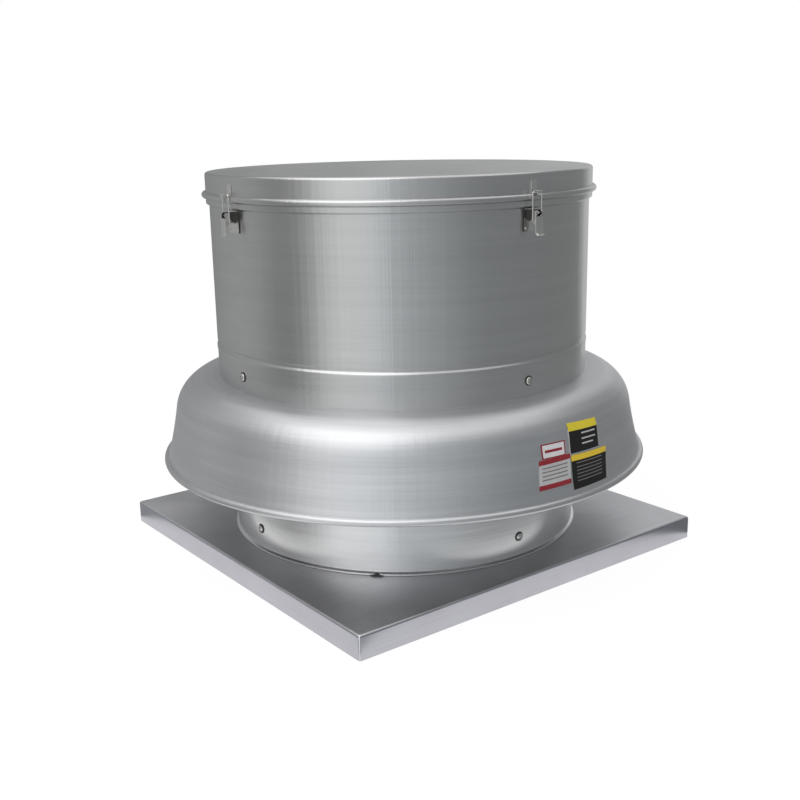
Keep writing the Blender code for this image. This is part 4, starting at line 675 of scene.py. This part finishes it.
def bent_to_shell(body, back, shell):
    """Bend the flat sheet that lies at x = back so that it follows a shell of that radius."""
    for y in BEND_LINES:
        bmesh.ops.bisect_plane(body, geom=body.verts[:] + body.edges[:] + body.faces[:], plane_co=(0, y, 0),
                               plane_no=(0, 1, 0), dist=1e-6)
    for vert in body.verts:
        if vert.co.x < back + BEND_REACH:
            vert.co.x += shell + SHELL_GAP - back - (shell - sqrt(shell ** 2 - vert.co.y ** 2))


def softened_copy(name, node, finish, shell=None, back=None, quarter=0.0, edge=LATCH_EDGE):
    """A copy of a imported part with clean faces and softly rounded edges."""
    body = bmesh.new()
    body.from_mesh(nodes[node].data)
    body.transform(Matrix.Rotation(-quarter, 4, "Z"))
    bmesh.ops.remove_doubles(body, verts=body.verts, dist=1e-6)
    bmesh.ops.dissolve_limit(body, angle_limit=radians(1.0), verts=body.verts, edges=body.edges)
    if shell:
        bent_to_shell(body, back, shell)
    body.transform(Matrix.Rotation(quarter, 4, "Z"))
    mesh = bpy.data.meshes.new(name)
    body.to_mesh(mesh)
    body.free()
    mesh.shade_smooth()
    mesh.set_sharp_from_angle(angle=radians(40.0))
    piece = new_object(name, mesh)
    mesh.materials.append(finish)
    soft = piece.modifiers.new("soft edges", "BEVEL")
    soft.width = edge
    soft.segments = 2
    soft.angle_limit = radians(40.0)
    soft.harden_normals = True
    return piece


for number in range(1, 5):
    quarter = (number - 1) * pi / 2
    plans = (("base", "root", DRUM_RADIUS, PLATE_BACK), ("catch", "root", LID_RADIUS, HOOK_BACK),
             ("lever", f"lever_{number}", None, None))
    for part, body_name, shell, back in plans:
        piece = softened_copy(f"toggle_{part}_{number}", f"latch_{part}_{number}", latch_finish,
                              shell, back, quarter)
        if part == "base":
            side = Vector((-sin(quarter), cos(quarter), 0.0))
            # The large side faces of the ears take the near-black copy, as painted shade
            piece.data.materials.append(ear_painted_shade_finish)
            for face in piece.data.polygons:
                face.material_index = 1 if abs(face.normal.dot(side)) > 0.8 and face.area > 2e-5 else 0
        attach(piece, body_name)
        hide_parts(f"latch_{part}_{number}")
print("twelve pressed parts")

# %% [markdown]
# ## Wire bails and rivets
# The bail is one bent wire. A curve with a round bevel draws it, and its ends turn into the lever's cheeks. Two
# rivets hold each base plate on the drum. One rivet head is turned, and its mesh is shared by all eight places.

# %% Wire bails
WIRE_X = 0.296
WIRE_SIDE = 0.008
WIRE_RADIUS = 0.001
WIRE_LOW = 0.5181519
WIRE_TOP = 0.5555
WIRE_BEND = 0.003
WIRE_FOOT_BEND = 0.0015
CHEEK = 0.0054
RIVET_RADIUS = 0.0022
RIVET_HEIGHT = 0.0009
RIVET_SINK = 0.0004
RIVET_SEAT = 0.2853
RIVET_SIDE = 0.0095
RIVET_LEVEL = 0.5075

rivet_loop = [(0.0, RIVET_HEIGHT)]
rivet_loop += [(RIVET_RADIUS * sin(a), RIVET_HEIGHT * cos(a)) for a in [radians(15.0 * k) for k in range(1, 7)]]
rivet_loop += [(RIVET_RADIUS, -RIVET_SINK), (0.0, -RIVET_SINK)]
rivet_mesh = turned_mesh("rivet_head", rivet_loop, 20)
rivet_mesh.materials.append(latch_finish)

half = [(-CHEEK, WIRE_LOW)]
half += arc((-WIRE_SIDE + WIRE_FOOT_BEND, WIRE_LOW + WIRE_FOOT_BEND), WIRE_FOOT_BEND,
            radians(-90.0), radians(-180.0), 5)
half += arc((-WIRE_SIDE + WIRE_BEND, WIRE_TOP - WIRE_BEND), WIRE_BEND, pi, pi / 2, 8)
bail_route = half + [(-y, z) for y, z in reversed(half)]
for number in range(1, 5):
    quarter = (number - 1) * pi / 2
    curve = bpy.data.curves.new(f"bail_wire_{number}", "CURVE")
    curve.dimensions = "3D"
    curve.bevel_depth = WIRE_RADIUS
    curve.bevel_resolution = 4
    curve.use_fill_caps = True
    spline = curve.splines.new("POLY")
    spline.points.add(len(bail_route) - 1)
    for point, (y, z) in zip(spline.points, bail_route):
        point.co = (WIRE_X * cos(quarter) - y * sin(quarter), WIRE_X * sin(quarter) + y * cos(quarter), z, 1.0)
    spline.use_smooth = True
    curve.materials.append(latch_finish)
    wire = new_object(f"bail_wire_{number}", curve)
    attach(wire, f"bail_{number}")
    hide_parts(f"latch_bail_{number}")
    for index, side in enumerate((-RIVET_SIDE, RIVET_SIDE)):
        rivet = new_object(f"base_rivet_{number}_{index + 1}", rivet_mesh)
        rivet.matrix_world = (Matrix.Rotation(quarter, 4, "Z")
                              @ Matrix.Translation((RIVET_SEAT, side, RIVET_LEVEL))
                              @ Matrix.Rotation(pi / 2, 4, "Y"))
        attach(rivet, "root")
print("bail route of", len(bail_route), "points")

# %% [markdown]
# ## Plain stickers on the skirt
# Four stickers sit on the skirt near the front. Here they're blank fields and bars of colour, cut as thin
# patches that follow the curve of the metal. Each patch is a fine grid between four corners, given as an angle
# round the fan and a height, and it's lifted a little off the surface.

# %% Stickers
STICKER_SHEET = 0.00015
STICKER_LIFT = 0.00025
SLOPE_STEP = 0.002


def skirt_radius(height):
    """Radius of the hood's outer face at a height on the skirt."""
    for (r1, z1), (r2, z2) in zip(hood_line[4:], hood_line[5:]):
        if z1 >= height >= z2:
            return r1 + (r2 - r1) * (z1 - height) / (z1 - z2)
    return hood_line[-1][0]


def mixed_corner(corners, u, v):
    """The point inside four corners at the share u of the width and v of the height."""
    top = [a + (b - a) * u for a, b in zip(corners[0], corners[1])]
    foot = [a + (b - a) * u for a, b in zip(corners[3], corners[2])]
    return [a + (b - a) * v for a, b in zip(top, foot)]


def skirt_point(degrees_round, height, lift):
    """A point over the skirt; the angle counts from -Y towards +X."""
    slope = (skirt_radius(height - SLOPE_STEP) - skirt_radius(height + SLOPE_STEP)) / (2 * SLOPE_STEP)
    out = Vector((1.0, slope)).normalized()
    radius = skirt_radius(height) + out.x * lift
    angle = radians(degrees_round)
    return (radius * sin(angle), -radius * cos(angle), height + out.y * lift)


def sticker(name, corners, layer, finish, across=14, down=12):
    """A thin patch between four corners: top left, top right, foot right, foot left."""
    lift = STICKER_LIFT + layer * STICKER_SHEET
    body = bmesh.new()
    faces = []
    for side in (lift, lift - STICKER_SHEET * 0.8):
        faces.append([[body.verts.new(skirt_point(*mixed_corner(corners, i / across, j / down), side))
                       for i in range(across + 1)] for j in range(down + 1)])
    front, rear = faces
    for j in range(down):
        for i in range(across):
            body.faces.new((front[j][i], front[j + 1][i], front[j + 1][i + 1], front[j][i + 1]))
            body.faces.new((rear[j][i], rear[j][i + 1], rear[j + 1][i + 1], rear[j + 1][i]))
    rim = [(0, i) for i in range(across + 1)] + [(j, across) for j in range(1, down + 1)]
    rim += [(down, i) for i in range(across - 1, -1, -1)] + [(j, 0) for j in range(down - 1, 0, -1)]
    for (a, b), (c, d) in zip(rim, rim[1:] + rim[:1]):
        body.faces.new((front[a][b], front[c][d], rear[c][d], rear[a][b]))
    return place_piece(name, finish_mesh(body, name, 50.0), finish)


def vinyl(name, colour, roughness=0.42):
    """The finish of a printed film."""
    return grained_finish(name, colour, roughness, 0.0, EVEN, 240.0, 0.00003, 0.05)


black_vinyl = vinyl("black_vinyl", (0.006, 0.0055, 0.0055), 0.55)
yellow_vinyl = vinyl("yellow_vinyl", (0.76, 0.62, 0.02))
amber_vinyl = vinyl("amber_vinyl", (0.80, 0.56, 0.02))
red_vinyl = vinyl("red_vinyl", (0.31, 0.012, 0.025))
white_vinyl = vinyl("white_vinyl", (0.74, 0.74, 0.76))
silver_vinyl = vinyl("silver_vinyl", (0.52, 0.52, 0.53))
grey_vinyl = vinyl("grey_vinyl", (0.20, 0.19, 0.18))


def band(corners, start, end):
    """The part of a sticker between two shares of its height."""
    return [mixed_corner(corners, 0, start), mixed_corner(corners, 1, start),
            mixed_corner(corners, 1, end), mixed_corner(corners, 0, end)]


def inset(corners, left, top, right, foot):
    """A smaller patch inside a sticker, by shares of its width and height."""
    return [mixed_corner(corners, left, top), mixed_corner(corners, right, top),
            mixed_corner(corners, right, foot), mixed_corner(corners, left, foot)]


upper = [(1.79, 249.9), (12.01, 246.6), (11.65, 207.6), (1.59, 210.0)]
lower = [(1.65, 207.6), (14.64, 203.7), (12.45, 162.0), (1.03, 162.5)]
small = [(-6.76, 231.1), (0.18, 230.7), (0.05, 210.8), (-6.58, 211.3)]
plain = [(-7.58, 210.6), (1.38, 211.3), (0.55, 172.6), (-8.30, 172.1)]
upper, lower, small, plain = [[(a, h / 1000) for a, h in c] for c in (upper, lower, small, plain)]
sticker("sticker_upper", upper, 0, black_vinyl)
sticker("sticker_upper_edge", inset(upper, -0.03, 0.2, 0.0, 1.0), 0, silver_vinyl, 2)
sticker("sticker_upper_head", band(upper, 0.0, 0.26), 1, yellow_vinyl)
sticker("sticker_lower", lower, 0, black_vinyl)
sticker("sticker_lower_head", band(lower, 0.0, 0.175), 1, amber_vinyl)
sticker("sticker_plain", plain, 0, silver_vinyl)
sticker("sticker_plain_head", band(plain, 0.0, 0.17), 1, red_vinyl)
sticker("sticker_plain_foot", band(plain, 0.84, 1.0), 1, red_vinyl)
sticker("sticker_small", small, 0, red_vinyl)
sticker("sticker_small_field", inset(small, 0.05, 0.08, 0.95, 0.92), 1, white_vinyl)
sticker("sticker_small_bar", inset(small, 0.13, 0.42, 0.86, 0.60), 2, red_vinyl)
for index, (top, right) in enumerate(((0.36, 0.9), (0.55, 0.9), (0.72, 0.8))):
    sticker(f"sticker_upper_bar_{index + 1}", inset(upper, 0.4, top, right, top + 0.05), 1, silver_vinyl, 8, 2)
for index, top in enumerate((0.24, 0.36, 0.46, 0.56, 0.66, 0.76)):
    sticker(f"sticker_lower_bar_{index + 1}", inset(lower, 0.12, top, 0.86, top + 0.025), 1, grey_vinyl, 8, 2)
for index, top in enumerate((0.27, 0.40, 0.53, 0.66)):
    sticker(f"sticker_plain_bar_{index + 1}", inset(plain, 0.1, top, 0.9, top + 0.04), 1, grey_vinyl, 8, 2)
print("stickers follow the skirt at radius", round(skirt_radius(0.21), 4))

# %% [markdown]
# ## Inlet and fan wheel
# Seen from below, the roof opening shows the bell-mouthed inlet and the wheel behind it. The inlet, the front
# shroud and the back plate are turned again as fine curves. The shroud's lip runs round the top of the inlet
# without touching it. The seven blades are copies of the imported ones, shaded as curved sheets with soft edges.

# %% Inlet and wheel
CONE_FLANGE = 0.2149
CONE_MOUTH = 0.186
CONE_THROAT = 0.1385
CONE_RISE = 0.085
CONE_TOP = 0.132
WHEEL_RADIUS = 0.205
EYE_RADIUS = 0.146
SHROUD_LIP = 0.124
SHROUD_FOOT = 0.136
SHROUD_RISE = 0.030
SHROUD_SHEET = 0.002
BACK_PLATE = (0.232, 0.235)
HUB_HOLE = 0.0223
BLADES = 7


def quarter_ellipse(centre, width, rise, start, end, steps=16):
    """Points of an ellipse round centre, between two angles in degrees."""
    angles = [radians(start + (end - start) * k / steps) for k in range(steps + 1)]
    return [(centre[0] + width * cos(a), centre[1] + rise * sin(a)) for a in angles]


inlet_face = [(CONE_FLANGE, DECK)]
inlet_face += quarter_ellipse((CONE_MOUTH, DECK + CONE_RISE), CONE_MOUTH - CONE_THROAT, CONE_RISE, 270.0, 180.0)
inlet_face.append((CONE_THROAT, CONE_TOP))
inlet_loop = inlet_face + offset_inside(inlet_face, SHEET)[::-1]
# The inlet shares the hood's lighter aluminium, with its painted light
turned_piece("inlet_bell", inlet_loop, hood_painted_light_finish, "inlet_cone")

shroud_face = [(EYE_RADIUS, SHROUD_LIP)]
shroud_face += quarter_ellipse((WHEEL_RADIUS, SHROUD_FOOT), WHEEL_RADIUS - EYE_RADIUS, SHROUD_RISE, 180.0, 90.0)
shroud_loop = shroud_face + offset_inside(shroud_face, -SHROUD_SHEET)[::-1]
turned_piece("wheel_front", shroud_loop, wheel_finish, "wheel_shroud", "rotor")
low, high = BACK_PLATE
plate_loop = softened([(WHEEL_RADIUS, high), (WHEEL_RADIUS, low), (HUB_HOLE, low), (HUB_HOLE, high)], 0.0008)
turned_piece("wheel_back", plate_loop, wheel_finish, "wheel_back_plate", "rotor")
for number in range(1, BLADES + 1):
    blade = softened_copy(f"fan_blade_{number}", f"wheel_blade_{number}", wheel_finish, edge=0.0006)
    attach(blade, "rotor")
    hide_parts(f"wheel_blade_{number}")
print("inlet throat", round(2 * CONE_THROAT, 3), "m across, wheel", round(2 * WHEEL_RADIUS, 3), "m across")

# %% [markdown]
# ## Finishes for the parts inside
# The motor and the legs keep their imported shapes, because only glimpses of them show. Each one still gets the
# finish of its metal, chosen by the slot that the record gives it.

# %% Finishes inside
finish_of_slot = {
    "spun_aluminium": drum_finish, "cap_sheet": cap_top_painted_light_finish, "wheel_aluminium": wheel_finish,
    "galvanised_steel": galvanised_finish, "bright_steel": plated_finish, "latch_steel": latch_finish,
    "cast_aluminium": cast_finish, "motor_paint": paint_finish, "winding_copper": copper_finish,
    "black_plastic": plastic_finish,
}
painted = 0
for node in nodes.values():
    for place in node.material_slots:
        old = place.material.name.split(".")[0] if place.material else ""
        if old in finish_of_slot:
            place.material = finish_of_slot[old]
            painted += 1
        else:
            print("no finish for", node.name, old)
print(painted, "of", len(nodes), "parts have their finish")

# %% [markdown]
# ## Floor and white backdrop
# The floor is white to the camera and in reflections, yet it still has to catch a soft shadow. Its shader mixes
# a diffuse white with a glow that only shows where the eye or a mirror looks at it. The world does the same at
# strength one.

# %% Floor and backdrop
def seen_rays(tree):
    """One for rays from the camera, from mirrors and through glass."""
    path = add_node(tree, "ShaderNodeLightPath")
    first = add_node(tree, "ShaderNodeMath", {"operation": "MAXIMUM"},
                     {0: path.outputs["Is Camera Ray"], 1: path.outputs["Is Glossy Ray"]})
    return add_node(tree, "ShaderNodeMath", {"operation": "MAXIMUM"},
                    {0: first.outputs[0], 1: path.outputs["Is Transmission Ray"]}).outputs[0]


WORLD_LIGHT = 0.62
FLOOR_REACH = 15.0
FLOOR_DROP = 0.0005

world = bpy.data.worlds.new("studio")
bpy.context.scene.world = world
world.use_nodes = True
background = world.node_tree.nodes["Background"]
background.inputs["Color"].default_value = (1.0, 1.0, 1.0, 1.0)
strength = add_node(world.node_tree, "ShaderNodeMapRange", {"To Min": WORLD_LIGHT, "To Max": 1.0},
                    {"Value": seen_rays(world.node_tree)})
world.node_tree.links.new(strength.outputs[0], background.inputs["Strength"])

floor_finish = bpy.data.materials.new("floor_white")
floor_finish.use_nodes = True
tree = floor_finish.node_tree
shader = tree.nodes["Principled BSDF"]
shader.inputs["Base Color"].default_value = (0.80, 0.80, 0.80, 1.0)
shader.inputs["Roughness"].default_value = 0.9
shader.inputs["Specular IOR Level"].default_value = 0.0
glow = add_node(tree, "ShaderNodeEmission", {"Color": (1.0, 1.0, 1.0, 1.0), "Strength": 1.07})
share = add_node(tree, "ShaderNodeMath", {"operation": "MULTIPLY", 1: 0.88}, {0: seen_rays(tree)})
mixed = add_node(tree, "ShaderNodeMixShader",
                 links={0: share.outputs[0], 1: shader.outputs[0], 2: glow.outputs[0]})
tree.links.new(mixed.outputs[0], tree.nodes["Material Output"].inputs["Surface"])

floor_mesh = bpy.data.meshes.new("floor")
floor_body = bmesh.new()
bmesh.ops.create_grid(floor_body, x_segments=1, y_segments=1, size=FLOOR_REACH)
floor_body.to_mesh(floor_mesh)
floor_body.free()
floor_mesh.materials.append(floor_finish)
floor = new_object("floor", floor_mesh)
floor.location = (0.0, 0.0, -FLOOR_DROP)
print("floor and world ready")

# %% [markdown]
# ## Grey screens for the metal
# Bare metal shows what stands round it. In a studio those are screens of different greys, and they draw the
# long upright bands on a drum. Here one round wall stands in for all of them. It glows by its direction, a
# little cooler ahead and to the right, and only reflections can see it, so it neither lights the object nor
# hides the white background.

# %% Grey screens
SCREEN_RADIUS = 2.5
SCREEN_HEIGHT = 2.8
SCREEN_INNER = 0.46
SCREEN_FOOT = 0.004
SCREEN_TURNS = 96
SCREEN_TONES = ((-180, 0.37), (-166, 0.26), (-150, 0.28), (-124, 0.37), (-104, 0.42), (-87, 0.39),
                (-73, 0.28), (-60, 0.25), (-50, 0.42), (-42, 0.66), (-33, 0.80), (-23, 0.78), (-12, 0.76),
                (-3, 0.54), (10, 0.45), (22, 0.39), (33, 0.32), (45, 0.27), (70, 0.255), (101, 0.25),
                (132, 0.255), (139, 0.62), (156, 0.60), (166, 0.44), (180, 0.37))

screen_finish = bpy.data.materials.new("screen_greys")
screen_finish.use_nodes = True
tree = screen_finish.node_tree
tree.nodes.remove(tree.nodes["Principled BSDF"])
place = add_node(tree, "ShaderNodeTexCoord").outputs["Object"]
level = add_node(tree, "ShaderNodeMapping", {"Rotation": (0.0, 0.0, -camera_azimuth)},
                 {"Vector": place}).outputs[0]
parts = add_node(tree, "ShaderNodeSeparateXYZ", links={0: level})
minus = add_node(tree, "ShaderNodeMath", {"operation": "MULTIPLY", 1: -1.0}, {0: parts.outputs[1]}).outputs[0]
bearing = add_node(tree, "ShaderNodeMath", {"operation": "ARCTAN2"}, {0: parts.outputs[0], 1: minus}).outputs[0]
share = add_node(tree, "ShaderNodeMapRange", {"From Min": -pi, "From Max": pi}, {"Value": bearing}).outputs[0]
tones = add_node(tree, "ShaderNodeValToRGB", links={0: share})
stops = tones.color_ramp.elements
for index, (direction, grey) in enumerate(SCREEN_TONES):
    where = (direction + 180) / 360
    if index in (0, len(SCREEN_TONES) - 1):
        stop = stops[0] if index == 0 else stops[-1]
    else:
        stop = stops.new(where)
    stop.position = where
    cool = 1.0 if -20 < direction < 80 else 0.3
    stop.color = (grey * (1 - 0.05 * cool), grey, grey * (1 + 0.035 * cool), 1.0)
glow = add_node(tree, "ShaderNodeEmission", {"Strength": 1.0}, {"Color": tones.outputs[0]})
tree.links.new(glow.outputs[0], tree.nodes["Material Output"].inputs["Surface"])

wall = bmesh.new()
line = [wall.verts.new((SCREEN_INNER, 0.0, SCREEN_FOOT)), wall.verts.new((SCREEN_RADIUS, 0.0, SCREEN_FOOT)),
        wall.verts.new((SCREEN_RADIUS, 0.0, SCREEN_HEIGHT))]
edges = [wall.edges.new((line[0], line[1])), wall.edges.new((line[1], line[2]))]
bmesh.ops.spin(wall, geom=line + edges, axis=(0, 0, 1), cent=(0, 0, 0), dvec=(0, 0, 0),
               angle=2 * pi, steps=SCREEN_TURNS, use_merge=True, use_duplicate=False)
screen_mesh = bpy.data.meshes.new("grey_screens")
wall.to_mesh(screen_mesh)
wall.free()
screen_mesh.materials.append(screen_finish)
screens = new_object("grey_screens", screen_mesh)
screens.visible_camera = False
screens.visible_diffuse = False
screens.visible_shadow = False
screens.visible_transmission = False
print(len(stops), "greys round the object")

# %% [markdown]
# ## Lamps
# One large soft box stands at the front left, above the camera, as the key light. The world fills the rest. A
# big lamp gives the folds of the cap and the fan's rims soft shadows.

# %% Lamps
AIM_HEIGHT = 0.3


def soft_box(name, direction, elevation, distance, size, power):
    """A square area lamp that looks at the fan's middle."""
    lamp = bpy.data.lights.new(name, "AREA")
    lamp.shape = "SQUARE"
    lamp.size = size
    lamp.energy = power
    holder = new_object(name, lamp)
    azimuth = camera_azimuth + radians(direction)
    across = Vector((sin(azimuth), -cos(azimuth), 0.0)) * cos(radians(elevation))
    place = (across + Vector((0.0, 0.0, sin(radians(elevation))))) * distance
    holder.location = place + Vector((0.0, 0.0, AIM_HEIGHT))
    holder.rotation_euler = (-place).to_track_quat("-Z", "Y").to_euler()


soft_box("key", direction=-35.0, elevation=44.0, distance=2.4, size=2.5, power=17.5)
bpy.context.scene.view_settings.view_transform = "Standard"
print("key lamp placed")
